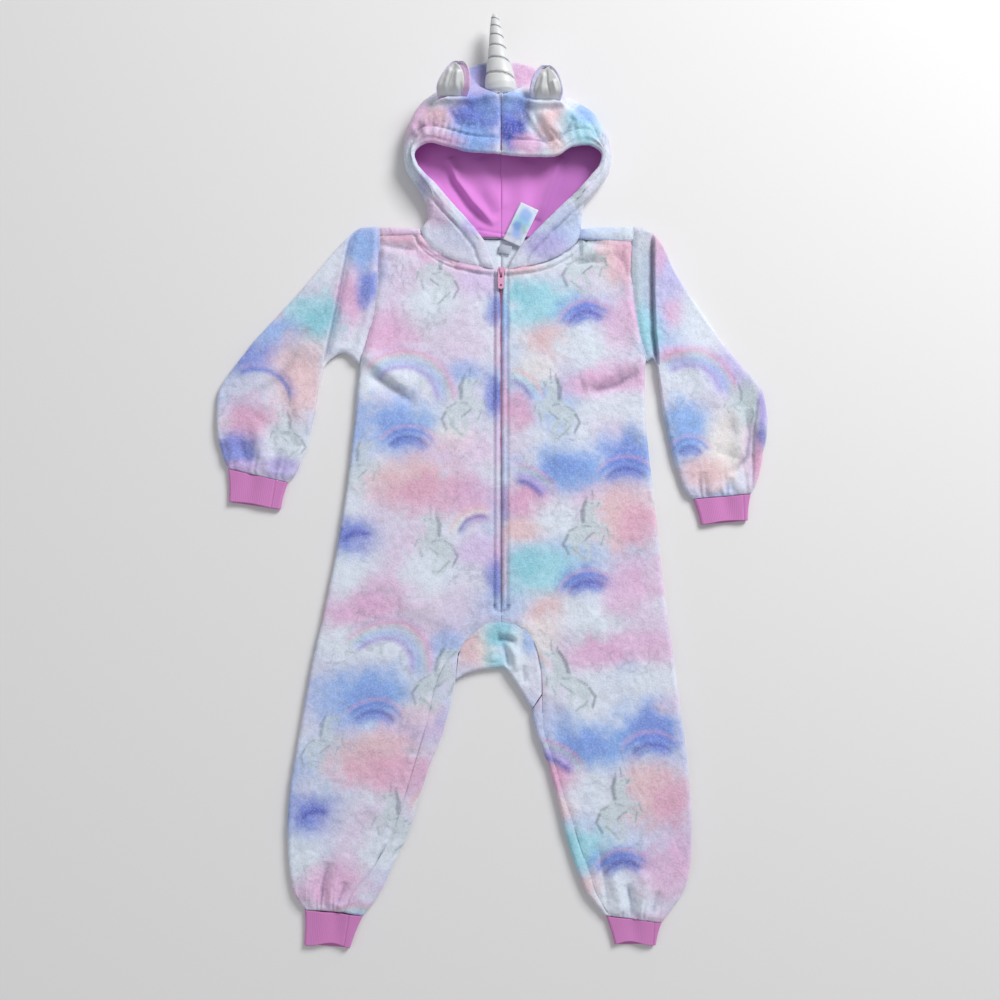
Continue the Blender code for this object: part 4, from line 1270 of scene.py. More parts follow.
RIGHT = Side(
    word="right", sign=-1, tip=(-147.0, 844.0), pit=(-168.0, 676.0), bow=8.0, shoulder_roll=12.0,
    side_seam=((676, -168), (634, -171), (574, -177), (515, -184), (456, -193), (398, -204),
               (340, -217), (294, -226), (248, -233), (208, -240), (168, -245), (129, -246),
               (84, -243), (58, -236), (46, -226)),
    inseam=((-53, 303, -50, 336), (-56, 290, -64, 325), (-60, 272, -76, 300),
            (-68, 242, -86, 256), (-82, 208, -99, 211), (-94, 172, -111, 172),
            (-110, 123, -128, 124), (-127, 87, -148, 90), (-143, 56, -171, 62),
            (-158, 38, -179, 42)),
    leg_rows=(358, 347, 336, 325, 313, 299, 280, 250, 214, 174, 130, 94, 66), hem=(-225.0, 45.0),
)
LEFT = Side(
    word="left", sign=1, tip=(160.0, 845.0), pit=(174.0, 680.0), bow=-9.0, shoulder_roll=20.0,
    side_seam=((680, 173), (650, 170), (604, 172), (556, 176), (515, 181), (456, 186),
               (392, 193), (340, 200), (282, 207), (236, 213), (197, 217), (151, 220),
               (118, 220), (73, 213), (48, 201), (32, 185)),
    inseam=((36, 271, 48, 288), (39, 251, 48, 255), (46, 230, 54, 231), (56, 204, 63, 205),
            (65, 168, 73, 169), (74, 130, 86, 132), (85, 95, 97, 98), (99, 62, 109, 65),
            (118, 39, 125, 38)),
    leg_rows=(358, 345, 332, 317, 301, 284, 262, 240, 214, 178, 142, 108, 72), hem=(184.0, 30.0),
)
NECK_STEPS = (0.30, 0.50, 0.70, 0.87)
ARM_STEPS = (0.20, 0.38, 0.55, 0.72, 0.86, 0.96)
ZIP_ROWS = (793, 768, 742, 690, 630, 570, 510, 450, 402)
SIDE_ROWS = (660, 618, 570, 520, 472, 426, 386)

# The gusset from the right leg to the left: its seam with the fronts, its turned edge and
# its seam with the backs
GUSSET = ((-49, 334, -52, 305, -57, 306), (-46, 343, -43, 311, -46, 337),
          (-35, 357, -29, 315, -35, 357), (-19, 369, -12, 318, -19, 369),
          (0, 374, 3, 319, 0, 374), (18, 369, 12, 309, 18, 369), (34, 356, 19, 298, 34, 356),
          (43, 336, 25, 288, 43, 336), (47, 312, 30, 280, 44, 300), (47, 290, 35, 273, 42, 272))
GUSSET_MIDDLE = 4

BODY_FOLDS = creases(
    (5.5, 12, 0.35, -164, 690, -140, 668, -108, 646), (-4.2, 9, 0, -158, 668, -132, 650, -100, 630),
    (4.0, 11, -0.35, 166, 686, 142, 668, 116, 656, 96, 652), (-3.8, 8, 0, 164, 668, 136, 652, 104, 644),
    (1.6, 24, 0, -170, 560, -120, 548, -60, 552), (1.5, 26, 0, 60, 560, 176, 540),
    (1.6, 22, 0, -160, 420, -90, 400, -30, 404), (1.8, 20, 0, 170, 400, 90, 380),
    (2.4, 14, 0, -52, 366, -80, 384, -120, 392), (2.2, 14, 0, 46, 352, 84, 366, 120, 372),
    (2.2, 14, 0, -70, 330, -92, 300, -110, 250), (2.2, 13, 0, 58, 300, 84, 262, 96, 210),
    (1.8, 16, 0, -190, 250, -150, 236, -120, 240), (1.8, 16, 0, 190, 230, 140, 214),
    (2.0, 15, 0, -236, 130, -200, 112, -160, 118), (2.0, 15, 0, 200, 120, 150, 104, 120, 112),
    (-3.6, 4.0, 0.3, -134, 118, -142, 92, -160, 66, -176, 52), (-3.4, 6, 0, -206, 48, -204, 72, -198, 98),
    (3.0, 8, 0, -196, 50, -190, 78, -178, 108), (2.6, 8, 0, -222, 56, -222, 84, -216, 110),
    (-2.8, 5, 0, -186, 52, -178, 76), (-5.0, 5, 0, 150, 34, 149, 52, 144, 74),
    (3.2, 8, 0, 160, 38, 164, 60, 164, 90), (3.0, 7, 0, 138, 40, 134, 62, 128, 88),
    (-2.4, 6, 0, 174, 40, 180, 66), (-2.2, 5, 0, 124, 44, 118, 84, 112, 120),
    (-3.2, 3.0, 0, -98, 824, -78, 808, -52, 797), (-2.6, 2.6, 0, -62, 814, -50, 800),
    (-2.6, 3.0, 0, 28, 797, 50, 801, 74, 812), (-2.2, 3.2, 0, 92, 828, 76, 812),
    (-3.4, 5, 0, -150, 824, -124, 820, -100, 816), (2.6, 7, 0, -146, 812, -116, 810),
    (-3.0, 4, 0, 72, 820, 98, 828, 128, 822), (2.8, 6, 0, 84, 808, 112, 814, 144, 812),
    (-2.4, 4, 0, 88, 798, 108, 802, 126, 800), (-2.0, 5, 0, 132, 816, 148, 800, 152, 780),
    (1.8, 10, 0, -100, 806, -124, 800, -140, 782), (1.6, 10, 0, 110, 806, 136, 796),
    (1.4, 20, 0, -30, 760, -80, 744, -130, 736), (1.3, 22, 0, 40, 730, 110, 716),
)


GUSSET_FOLDS = creases(
    (-4.6, 4.2, 0, -6, 351, 6, 352, 18, 349), (2.6, 5, 0, -2, 358, 8, 359, 20, 355),
    (-4.8, 4.0, 0.3, 2, 348, 6, 334, 9, 318), (3.2, 5.0, 0, 12, 344, 17, 332, 19, 316),
    (2.0, 7, 0, -12, 342, -9, 326), (-2.2, 4, 0, 26, 322, 28, 300),
)


@dataclass(frozen=True)
class Row:
    """One row of a panel, from its inner end to its outer end."""

    start: Array
    seam: Array | None
    end: Array
    end_turned: bool
    edge: float = EDGE

    def across(self, count: int, first: float, over: bool) -> Array:
        """Points from first along the row to its outer end, on the upper or the lower layer.

        Args:
            count: how many points.
            first: where the first lies.
            over: whether the upper layer is meant.

        Returns:
            The points.
        """
        run = self.end - self.start
        length = np.linalg.norm(run)
        total = length - self.edge + quarter(self.edge) if self.end_turned else length
        to_end = total - np.linspace(first, total - HALF_GAP, count)
        if self.end_turned:
            distance, z = turned(to_end if over else -to_end, self.edge)
        else:
            distance, z = to_end, np.full(count, 2 * EDGE if over else 0.0)
        return np.concatenate([self.end - run / length * distance[:, None], z[:, None]], axis=1)


@dataclass
class Body:
    """Two fronts, two backs that turn over the shoulders and inseams, and the gusset."""

    spacing: float = 1.7
    back_spacing: float = 2.6
    columns: int = 111
    back_columns: int = 85
    placket: float = 7.8
    neck_band: float = 9.0

    def leg_rows(self, side: Side, upper: bool) -> list[Row]:
        """Rows from the top of the gusset to the ankle.

        Args:
            side: right or left.
            upper: front or back.

        Returns:
            The rows.
        """
        own = (GUSSET[1:GUSSET_MIDDLE + 1][::-1] if side.sign < 0 else GUSSET[GUSSET_MIDDLE:-1])
        ends = [np.array((side.side_x(y), y)) for y in side.leg_rows] + [np.array(side.hem)]
        if upper:
            starts = [(np.array(g[:2], float), None) for g in own]
            starts += [(np.array(i[2:], float), None) for i in side.inseam]
        else:
            starts = [(np.array(g[4:], float), None) for g in own]
            starts += [(np.array(i[:2], float), np.array(i[2:], float)) for i in side.inseam]
        rows = [Row(start, seam, end, True) for (start, seam), end in zip(starts, ends)]
        last = rows[-1]
        return rows[:-1] + [Row(last.start, last.seam, last.end, True, HEM_EDGE)]

    def rows(self, side: Side, upper: bool) -> list[Row]:
        """Rows of a front or back from below the shoulder to the ankle.

        Args:
            side: right or left.
            upper: front or back.

        Returns:
            The rows.
        """
        drop = FRONT_DROP if upper else BACK_DROP
        first = side.shoulder_roll + HALF_GAP if upper else 2 * EDGE
        parting = (ZIP_MOUTH, ZIP_PARTING + 2, ZIP_PARTING) if upper else (-HALF_GAP,) * 3
        found = [Row(side.neckline(first, drop, HALF_GAP), None,
                     side.armhole(first / side.armhole_length()), False)]
        found += [Row(side.neckline(neck * neck_length(drop), drop, HALF_GAP), None,
                      side.armhole(arm), False) for neck, arm in zip(NECK_STEPS, ARM_STEPS)]
        middles = [(side.sign * parting[0], SHOULDER_Y - drop - HALF_GAP),
                   (side.sign * parting[1], float(ZIP_ROWS[1]))]
        found += [Row(np.array(middle), None, side.armhole(arm), False)
                  for middle, arm in zip(middles, ARM_STEPS[len(NECK_STEPS):])]
        found += [Row(np.array((side.sign * parting[2], float(z))), None,
                      np.array((side.side_x(y), float(y))), True)
                  for z, y in zip(ZIP_ROWS[2:], SIDE_ROWS)]
        return found + self.leg_rows(side, upper)

    def seam_dip(self, grid: Array, side: Side) -> tuple[Array, Array, Array]:
        """Sinks a front at its seams and zip and raises its folds.

        Args:
            grid: points of the front.
            side: right or left.

        Returns:
            Height gained, painted shade along the seams, the zip's grooves and the zip's middle, and the
            distance to a seam.
        """
        plan = grid[..., :2]
        neck = side.neckline(np.linspace(0, neck_length(FRONT_DROP), 40), FRONT_DROP)
        by_neck = near(plan, neck)
        by_arm, by_shoulder = near(plan, side.arm_line()), near(plan, side.shoulder_line())
        own = GUSSET[:GUSSET_MIDDLE + 1][::-1] if side.sign < 0 else GUSSET[GUSSET_MIDDLE:]
        crotch = np.array([g[:2] for g in own] + [i[2:] for i in side.inseam], float)
        by_crotch, _, crotch_share = line_distance(plan, crotch)
        hem = np.array([side.hem, side.inseam[-1][2:]])
        by_hem, _, hem_share = line_distance(plan, hem)
        by_zip = np.abs(plan[..., 0])
        under = fade((ZIP_TOP - plan[..., 1]) / 6) * fade((plan[..., 1] - ZIP_FOOT + 5) / 7)
        foot = np.hypot(plan[..., 0], (plan[..., 1] - ZIP_FOOT - 4)) - self.placket
        foot = np.where(plan[..., 1] < ZIP_FOOT + 4, foot, 99.0)
        groove = bump(by_zip - self.placket, 1.5) * under + bump(foot, 1.6)
        band = fade(1 - by_zip / self.placket) * under
        rise = -1.7 * bump(by_neck, 2.8) + 0.9 * bump(by_neck - 4.5, 3.0)
        band_at = self.neck_band + 1.6 * LIE_NOISE.at(grid + 31.0, 26.0)
        rise += -1.6 * bump(by_neck - band_at, 1.8) + 1.0 * LIE_NOISE.at(grid, 9.0) * bump(by_neck - 6, 6)
        rise += -1.8 * bump(by_arm, 3.0) + 0.8 * bump(by_arm - 8, 5)
        rise += -1.3 * bump(by_shoulder, 2.6) - 1.0 * bump(by_crotch, 2.8)
        rise += 0.7 * bump(by_crotch - 8, 5) - 1.6 * bump(by_hem, 2.4) + 1.6 * bump(by_hem - 9, 7)
        rise += -1.9 * groove - 2.6 * band * bump(by_zip, 2.2) + 0.5 * bump(by_zip - 5.0, 2.6) * under
        pucker = np.sin(hem_share * 44 + 1.5 * np.sin(hem_share * 17))
        rise += 1.1 * pucker * np.exp(-by_hem / 16.0) * fade(by_hem / 5)
        pull = np.sin(crotch_share * 90 + 2 * np.sin(crotch_share * 23))
        rise += 0.35 * pull * bump(by_crotch - 7, 6)
        rise += risen(plan, BODY_FOLDS)
        rise += 1.1 * LIE_NOISE.at(grid, 60.0) + 0.4 * LIE_NOISE.at(grid + 50.0, 24.0)
        # Painted shade along the armhole, crotch, neck band and shoulder seams, in the grooves beside the
        # zip, and down the zip's middle.
        dark = 0.14 * (bump(by_arm, 1.3) + 0.5 * bump(by_crotch, 1.3) + bump(by_neck - band_at, 1.2))
        dark += 0.16 * bump(by_shoulder, 1.2) + 0.32 * np.clip(groove, 0, 1)
        by_seam = np.minimum(np.minimum(by_neck, by_shoulder), by_crotch)
        return rise, dark + 0.42 * band * bump(by_zip, 1.7), by_seam

    def front(self, side: Side, layout: Layout) -> Piece:
        """One front, from the zip to the side seam and down the leg.

        Args:
            side: right or left.
            layout: print of the cloth.

        Returns:
            The finished piece.
        """
        sparse = np.array([row.across(self.columns, HALF_GAP, True) for row in self.rows(side, True)])
        grid, _ = dense_rows(sparse, self.spacing, 2)
        out = Cloth.outside(grid, Facing.UP)
        top = lifted(grid)
        away = np.linalg.norm(grid[:, -1:, :2] - grid[..., :2], axis=2)
        level, dark, by_seam = self.seam_dip(grid, side)
        sag = -SAG * fade((away - EDGE) / LIE_OVER) * fade(by_seam / 14)
        rolled = fade((2 * EDGE - 0.2 - grid[:, -1:, 2]) / EDGE)
        flat = 1 - 0.75 * rolled * (1 - fade(away / 16.0))
        grid[..., 2] += top * (sag + level * flat)
        grid[..., :2] += 0.7 * LIE_NOISE.at(grid + 200, 9.0)[..., None] * (1 - top)[..., None] \
            * out[..., :2]
        colour = layout.colour(grid)
        out = Cloth.outside(grid, Facing.UP)
        return fleece(f"cloth_front_{side.word}", f"front_{side.word}", grid, out, colour,
                      (dark, BODY_FOLDS))

    WRAP = 18

    def low_row(self, row: Row) -> Array:
        """Points of one row of a back: round the inseam if it turns, across, and up.

        Args:
            row: a row of the back.

        Returns:
            Its points.
        """
        run = unit(row.end - row.start)
        points = np.zeros((self.WRAP, 3))
        if row.seam is None:
            points[:, :2] = row.start - run * np.linspace(0.4, 0.02, self.WRAP)[:, None]
        else:
            to_seam = row.seam - row.start
            reach = np.linalg.norm(to_seam)
            path = np.linspace(quarter(row.edge) + reach - row.edge - HALF_GAP,
                               -quarter(row.edge), self.WRAP)
            distance, z = turned(path, row.edge)
            way = np.where((path > 0)[:, None], to_seam / reach, run)
            points[:, :2] = row.start + way * distance[:, None]
            points[:, 2] = z
        first = HALF_GAP if row.seam is None else row.edge + 1.0
        return np.concatenate([points, row.across(self.back_columns - self.WRAP, first, False)])

    def shoulder_rows(self, side: Side, shares: Array) -> Array:
        """Rows of a back that turn over the shoulder on to the front, from the seam down.

        Args:
            side: right or left.
            shares: where along a row its points lie.

        Returns:
            The rows.
        """
        start = quarter(EDGE) + side.shoulder_roll - EDGE - HALF_GAP
        found = []
        for path in np.linspace(start, -quarter(EDGE), 13):
            inward, z = turned(np.array(path), EDGE)
            inner = side.neckline(float(inward), FRONT_DROP if path > 0 else BACK_DROP, HALF_GAP)
            outer = side.armhole(float(inward) / side.armhole_length(), -HALF_GAP)
            flat = inner + (outer - inner) * shares[:, None]
            flat = np.concatenate([flat, np.full((len(shares), 1), float(z))], axis=1)
            found.append(np.concatenate([np.repeat(flat[:1], self.WRAP, axis=0), flat]))
        return np.array(found)

    def back(self, side: Side, layout: Layout, front: Layout) -> Piece:
        """One back panel; where it is rolled on to the front it shows the front's print.

        Args:
            side: right or left.
            layout: print of the back.
            front: print of the front.

        Returns:
            The finished piece.
        """
        rows = self.rows(side, False)
        turns = next(k for k, row in enumerate(rows) if row.seam is not None)
        sparse = np.array([self.low_row(row) for row in rows])
        line = sparse[0, self.WRAP:, :2]
        gone = np.linalg.norm(line - line[0], axis=1)
        over = self.shoulder_rows(side, gone / gone[-1])
        sparse = np.concatenate([over, sparse])
        grid, (mark,) = dense_rows(sparse, self.back_spacing, 2, (len(over) + turns,))
        missing = np.zeros(((grid.shape[0] - 1) // 2, (grid.shape[1] - 1) // 2), bool)
        missing[:mark // 2, :self.WRAP // 2] = True
        out = Cloth.outside(grid, Facing.DOWN)
        top = lifted(grid)
        plan = grid[..., :2]
        rise = 0.8 * LIE_NOISE.at(grid, 30.0)
        by_arm = near(plan, np.array([side.armhole(s) for s in (0, 0.05, 0.1, 0.15)]))
        neck = near(plan, side.neckline(np.linspace(0, 30, 8), FRONT_DROP))
        by_shoulder = near(plan, side.shoulder_line())
        seam = near(plan, np.array([i[2:] for i in side.inseam], float))
        rise += -2.2 * bump(by_arm, 2.6) - 2.0 * bump(by_shoulder, 2.4) - 1.0 * bump(seam, 2.4)
        rise += -2.0 * bump(neck, 2.4)
        grid[..., 2] += top * rise
        colour = layout.colour(grid)
        rolled = fade((grid[..., 2] - 0.5) / 4.0) * fade((800 - grid[..., 1]) / 20)
        colour += rolled[..., None] * (front.colour(grid) - colour)
        return fleece(f"cloth_back_{side.word}", f"back_{side.word}", grid, out, colour,
                      missing=missing)

    def gusset(self, layout: Layout) -> Piece:
        """The crotch gusset, folded over its lower edge and creased.

        Args:
            layout: print of the cloth.

        Returns:
            The finished piece.
        """
        rows = []
        for x_top, y_top, x_edge, y_edge, x_low, y_low in GUSSET:
            edge = np.array([x_edge, y_edge], float)
            tops, lows = np.array([x_top, y_top]) - edge, np.array([x_low, y_low]) - edge
            reach, depth = np.linalg.norm(tops), np.linalg.norm(lows)
            top_path = quarter(EDGE) + reach - EDGE - HALF_GAP
            low_path = -quarter(EDGE) - depth + EDGE + HALF_GAP
            path = np.concatenate([np.linspace(top_path, 0, 33), np.linspace(0, low_path, 17)[1:]])
            distance, z = turned(path, EDGE)
            way = np.where((path > 0)[:, None], tops / reach, lows / depth)
            rows.append(np.concatenate([edge + way * distance[:, None], z[:, None]], axis=1))
        rows = np.array(rows)
        for end, inner in ((0, 1), (-1, -2)):
            away = rows[end] - rows[inner]
            length = np.maximum(np.linalg.norm(away, axis=-1, keepdims=True), EDGE)
            rows[end] -= 4 * HALF_GAP * away / length
        grid, _ = dense_rows(rows, 1.6, 2)
        top = lifted(grid)
        plan = grid[..., :2]
        seam = near(plan, np.array([g[:2] for g in GUSSET], float))
        rise = -1.2 * bump(seam, 2.2) + 0.8 * LIE_NOISE.at(grid, 18.0)
        rise += risen(plan, GUSSET_FOLDS)
        grid[..., 2] += top * rise
        out = Cloth.outside(grid, Facing.ROUND)
        # Painted shade along the seam with the fronts and in the gusset's folds.
        return fleece("cloth_gusset", "gusset", grid, out, layout.colour(grid),
                      (0.06 * bump(seam, 1.4) * top, GUSSET_FOLDS))

    def build(self) -> list[Piece]:
        """Makes every piece of the body."""
        right = Layout(PALE, RIGHT_MARKS, RIGHT_OWN, swing=-52.0, hip=410.0)
        left = Layout(PALE, LEFT_MARKS, LEFT_OWN, swing=45.0, hip=340.0)
        behind_right = Layout(PALE, LEFT_MARKS, RIGHT_BACK_OWN, (222.0, 96.0), -52.0, 410.0)
        behind_left = Layout(PALE, RIGHT_MARKS, LEFT_BACK_OWN, (-214.0, 96.0), 45.0, 340.0)
        return [self.front(RIGHT, right), self.front(LEFT, left),
                self.back(RIGHT, behind_right, right), self.back(LEFT, behind_left, left),
                self.gusset(Layout(PALE, own=GUSSET_MARKS))]


# ---- sleeves and cuffs


@dataclass(frozen=True)
class TubeRow:
    """One row of a flat tube: its upper and lower edge, its bow and its edges' radius."""

    x_up: float
    y_up: float
    x_low: float
    y_low: float
    bow: float = 0.0
    edge: float = EDGE

    def points(self, count: int) -> Array:
        """The row's points, from the upper edge's foot over the top and back underneath.

        Args:
            count: how many.

        Returns:
            The points.
        """
        up, low = np.array((self.x_up, self.y_up)), np.array((self.x_low, self.y_low))
        chord = low - up
        length = float(np.linalg.norm(chord))
        normal = np.array([-chord[1], chord[0]]) / length
        arc, flat = math.pi * self.edge, length - 2 * self.edge
        s = np.arange(count) / count * 2 * (arc + flat)
        up_in, up_z = turned(np.clip(s, 0, arc) - arc / 2, self.edge)
        low_in, low_z = turned(arc / 2 - np.clip(s - arc - flat, 0, arc), self.edge)
        distance = np.select(
            [s < arc, s < arc + flat, s < 2 * arc + flat],
            [up_in, self.edge + s - arc, length - low_in],
            length - self.edge - (s - 2 * arc - flat))
        z = np.select([s < arc, s < arc + flat, s < 2 * arc + flat],
                      [up_z, 2 * self.edge + 0 * s, low_z], 0.0)
        share = distance / length
        plan = up + chord * share[:, None] + normal * (self.bow * 4 * share * (1 - share))[:, None]
        return np.concatenate([plan, z[:, None]], axis=1)


@dataclass
class Sleeve:
    """A sleeve: a closed tube from its armhole to its cuff, with its fold and gathers."""

    side: Side
    rows: tuple[TubeRow, ...]
    folds: tuple[Fold, ...]
    layout: Layout
    columns: int = 180
    spacing: float = 1.8

    def build(self) -> list[Piece]:
        """Makes the sleeve."""
        sparse = np.array([row.points(self.columns) for row in self.rows])
        grid, _ = dense_rows(sparse, self.spacing, 2)
        out = Cloth.outside(grid, Facing.ROUND, True)
        top = lifted(grid)
        plan = grid[..., :2]
        by_arm = near(plan, self.side.arm_line())
        last = self.rows[-1]
        hem = np.array([(last.x_up, last.y_up), (last.x_low, last.y_low)])
        by_hem, _, hem_share = line_distance(plan, hem)
        rise = -SAG * fade(by_arm / 18) - 1.8 * bump(by_arm, 3.0) + 0.7 * bump(by_arm - 7, 4)
        rise += -1.6 * bump(by_hem, 2.4) + 1.4 * bump(by_hem - 9, 7)
        pucker = np.sin(hem_share * 40 + 1.7 * np.sin(hem_share * 15))
        rise += 1.3 * pucker * np.exp(-by_hem / 15.0) * fade(by_hem / 5)
        rise += risen(plan, self.folds)
        rise += 0.9 * LIE_NOISE.at(grid, 46.0) + 0.5 * LIE_NOISE.at(grid + 50.0, 20.0)
        grid[..., 2] += top * rise
        grid[..., :2] += 0.8 * (LIE_NOISE.at(grid + 200, 9.0) * (1 - top) * fade(grid[..., 2] / 3)
                                )[..., None] * out[..., :2]
        out = Cloth.outside(grid, Facing.ROUND, True)
        # Painted shade along the armhole seam, and the painted shadows of the folds and the pleat.
        return [fleece(f"cloth_sleeve_{self.side.word}", f"sleeve_{self.side.word}", grid, out,
                       self.layout.colour(grid), (0.14 * bump(by_arm, 1.3) * top, self.folds), tube=True)]


RIGHT_SLEEVE = Sleeve(
    RIGHT,
    (TubeRow(-146.2, 844, -167.2, 676, 8), TubeRow(-166, 844, -188, 691, 7),
     TubeRow(-184, 831, -208, 678, 5), TubeRow(-217, 793, -214, 660, 2),
     TubeRow(-252, 752, -217, 644), TubeRow(-284, 717, -219, 626), TubeRow(-313, 680, -224, 604),
     TubeRow(-336, 642, -230, 580), TubeRow(-338, 606, -237, 558),
     TubeRow(-331, 573, -245, 543, 0, 4.7), TubeRow(-323, 552, -252, 536, 0, HEM_EDGE)),
    (Step(((-210, 676), (-201, 720), (-192, 768), (-182, 822), (-176, 838)), 4.6, 3.2),
     Crease(((-250, 668), (-238, 620), (-236, 580)), 3.4, 13, 0.3),
     Crease(((-300, 690), (-290, 640), (-262, 600)), 2.2, 18),
     Crease(((-238, 700), (-262, 660), (-300, 640)), -1.8, 12),
     Crease(((-280, 556), (-284, 580), (-292, 610)), 3.2, 8),
     Crease(((-298, 556), (-306, 584)), -2.6, 8), Crease(((-266, 548), (-262, 576)), -2.2, 8),
     Crease(((-312, 560), (-322, 590)), 2.6, 7)),
    Layout(PALE, own=RIGHT_SLEEVE_MARKS),
)
LEFT_SLEEVE = Sleeve(
    LEFT,
    (TubeRow(159.0, 845, 173.0, 680, -9), TubeRow(176, 841, 180, 684, -8),
     TubeRow(191, 826, 186, 675, -5), TubeRow(208, 790, 188, 659, -2), TubeRow(232, 752, 190, 641),
     TubeRow(260, 710, 192, 621), TubeRow(287, 673, 196, 602), TubeRow(312, 641, 201, 579),
     TubeRow(316, 606, 207, 555), TubeRow(308, 560, 214, 534),
     TubeRow(301, 532, 220, 522, 0, 4.7), TubeRow(295, 522, 227, 516, 0, HEM_EDGE)),
    (Step(((182, 834), (181, 800), (181, 760), (182, 718), (186, 676)), 5.8, 4.0),
     Crease(((290, 622), (295, 592), (291, 566), (272, 545)), -5.2, 6, 0.3),
     Crease(((278, 624), (284, 592), (276, 566)), 4.6, 9), Crease(((306, 610), (306, 570)), 2.0, 7),
     Crease(((226, 700), (244, 650), (262, 628)), 2.4, 16),
     Crease(((206, 640), (214, 590), (222, 560)), 2.2, 14),
     Crease(((250, 522), (252, 546), (262, 568)), 2.4, 9), Crease(((236, 520), (236, 548)), -1.8, 7),
     Crease(((268, 524), (270, 542)), -2.2, 6),
     Groove(((304, 632), (300, 600), (298, 570), (297, 530)), 1.6, 1.6)),
    Layout(PALE, own=LEFT_SLEEVE_MARKS),
)


@dataclass
class Cuff:
    """A rib cuff: a closed tube with its ribs, one soft dent and a curled free edge."""

    name: str
    up: Point
    low: Point
    free_low: Point
    free_up: Point
    dent: float = 0.5
    curl: float = 2.5
    seam: float = 0.8
    columns: int = 240
    rows: int = 31
    ribs: int = 60

    def build(self) -> list[Piece]:
        """Makes the cuff."""
        up, low, free_low, free_up = (np.array(corner, float) for corner in (
            self.up, self.low, self.free_low, self.free_up))
        grid = np.zeros((self.rows, self.columns, 3))
        for row, share in enumerate(np.linspace(0, 1, self.rows)):
            start = share + 0.012 * (1 - share)
            a, b = up + (free_up - up) * start, low + (free_low - low) * start
            waist = 1.0 - 0.03 * math.sin(math.pi * share)
            middle = (a + b) / 2
            a, b = middle + (a - middle) * waist, middle + (b - middle) * waist
            grid[row] = TubeRow(a[0], a[1], b[0], b[1], 0.0, CUFF_EDGE).points(self.columns)
        down = unit((free_up + free_low - up - low) / 2)
        across = unit(low - up)
        width = np.linalg.norm(low - up)
        out = Cloth.outside(grid, Facing.ROUND, True)
        share_down = np.linspace(0, 1, self.rows)[:, None]
        place = ((grid[..., :2] - up) @ across) / width
        top = fade((grid[..., 2] - CUFF_EDGE) / CUFF_EDGE)
        lift = top * (0.9 * (1 - share_down) ** 2 - 2.0 * bump(place - self.dent, 0.12)
                      * fade(1.2 - share_down) + 0.9 * bump(place - self.dent - 0.24, 0.14)
                      + 0.7 * bump(place - self.dent + 0.26, 0.12))
        seam = bump(place - self.seam - 0.03 * share_down, 0.010)
        grid[..., 2] += lift - top * seam * 0.9
        wave = self.curl * np.sin(math.pi * np.clip((place - 0.12) / 0.72, 0, 1)) ** 1.5
        grid[..., :2] -= (top * share_down ** 3 * wave)[..., None] * down
        rib = np.cos(2 * math.pi * self.ribs * np.arange(self.columns) / self.columns)[None, :]
        rib = np.broadcast_to(rib, grid.shape[:2])
        shown = grid + out * (0.15 * rib * fade(share_down / 0.1))[..., None]
        shown[..., 2] = np.maximum(shown[..., 2], LEAST_Z)
        piece = Cloth.shell(self.name.replace("cuff", "rib_cuff"), shown, out, RIB_WALL, 3, tube=True)
        return [Cloth.attach(piece, RIB, "rib", [self.name])]


CUFFS = (
    Cuff("cuff_wrist_right", (-323, 552), (-252, 536), (-260, 504), (-321, 513), 0.42, 1.6, 0.80),
    Cuff("cuff_wrist_left", (295, 522), (227, 516), (236, 486), (291, 491), 0.45, 1.8, 0.14),
    Cuff("cuff_ankle_right", (-158, 38), (-225, 45), (-225, 5), (-173, 1), 0.45, 5.0, 0.24),
    Cuff("cuff_ankle_left", (120, 38), (184, 30), (177, 5), (130, 5), 0.50, 4.5, 0.86),
)


# ---- hood


@dataclass(frozen=True)
class HoodRow:
    """A row of a hood half: centre back, side, ridge and end, as a maker lays it out."""

    y_back: float
    x_side: float
    y_side: float
    edge: float
    ridge: float
    late: float
    z_ridge: float
    x_end: float
    y_end: float
    z_end: float

    def climb(self, share: Array) -> Array:
        """Height of the upper layer.

        Args:
            share: how far from the side to the end.

        Returns:
            Height at each share.
        """
        side = 2 * self.edge
        low = np.clip(share / self.ridge, 0, 1) ** self.late
        high = np.clip((share - self.ridge) / (1 - self.ridge), 0, 1)
        return np.where(share < self.ridge, side + (self.z_ridge - side) * fade(low),
                        self.z_ridge + (self.z_end - self.z_ridge) * fade(high))


RIGHT_HOOD = tuple(HoodRow(*row) for row in (
    (846, -88, 855, 6.5, 0.5, 1.0, 14, -20, 826, 13), (858, -89, 863, 8.0, 0.5, 1.0, 18, -40, 851, 16),
    (870, -90, 871, 9.5, 0.5, 1.0, 21, -59, 871, 20), (884, -94, 881, 11.0, 0.6, 1.0, 23, -78, 892, 23),
    (898, -104, 896, 11.2, 0.8, 1.0, 24, -91, 905, 24), (912, -114, 913, 11.5, 0.9, 1.0, 25, -100, 917, 25),
    (926, -117, 930, 11.8, 0.9, 1.0, 27, -103, 927, 27), (940, -116, 947, 12.6, 0.7, 1.0, 30, -97, 935, 29),
    (954, -111, 965, 14.0, 0.5, 1.0, 34, -84, 939, 32), (966, -103, 984, 14.0, 0.3, 1.0, 36, -64, 934, 33),
    (976, -93, 997, 13.0, 0.18, 1.0, 37, -35, 926.5, 34),
    (986, -80, 1007, 11.5, 0.13, 1.0, 38, -HALF_GAP, 924, 34),
    (996, -69, 1017, 10.0, 0.27, 1.0, 38, -HALF_GAP, 942, 36),
    (1004, -58, 1027, 9.0, 0.48, 1.1, 38, -HALF_GAP, 961, 37),
    (1012, -47, 1036, 8.0, 0.73, 1.5, 38.5, -HALF_GAP, 980, 38.5),
    (1019, -34, 1043, 6.5, 0.97, 8.0, 38.5, -HALF_GAP, 993, 38.5),
    (1026, -18, 1049, 5.2, 0.97, 1.0, 11.5, -HALF_GAP, 1000, 14),
    (1033, -HALF_GAP, 1052, 5.0, 0.97, 1.0, 10, -HALF_GAP, 1036, 10),
))
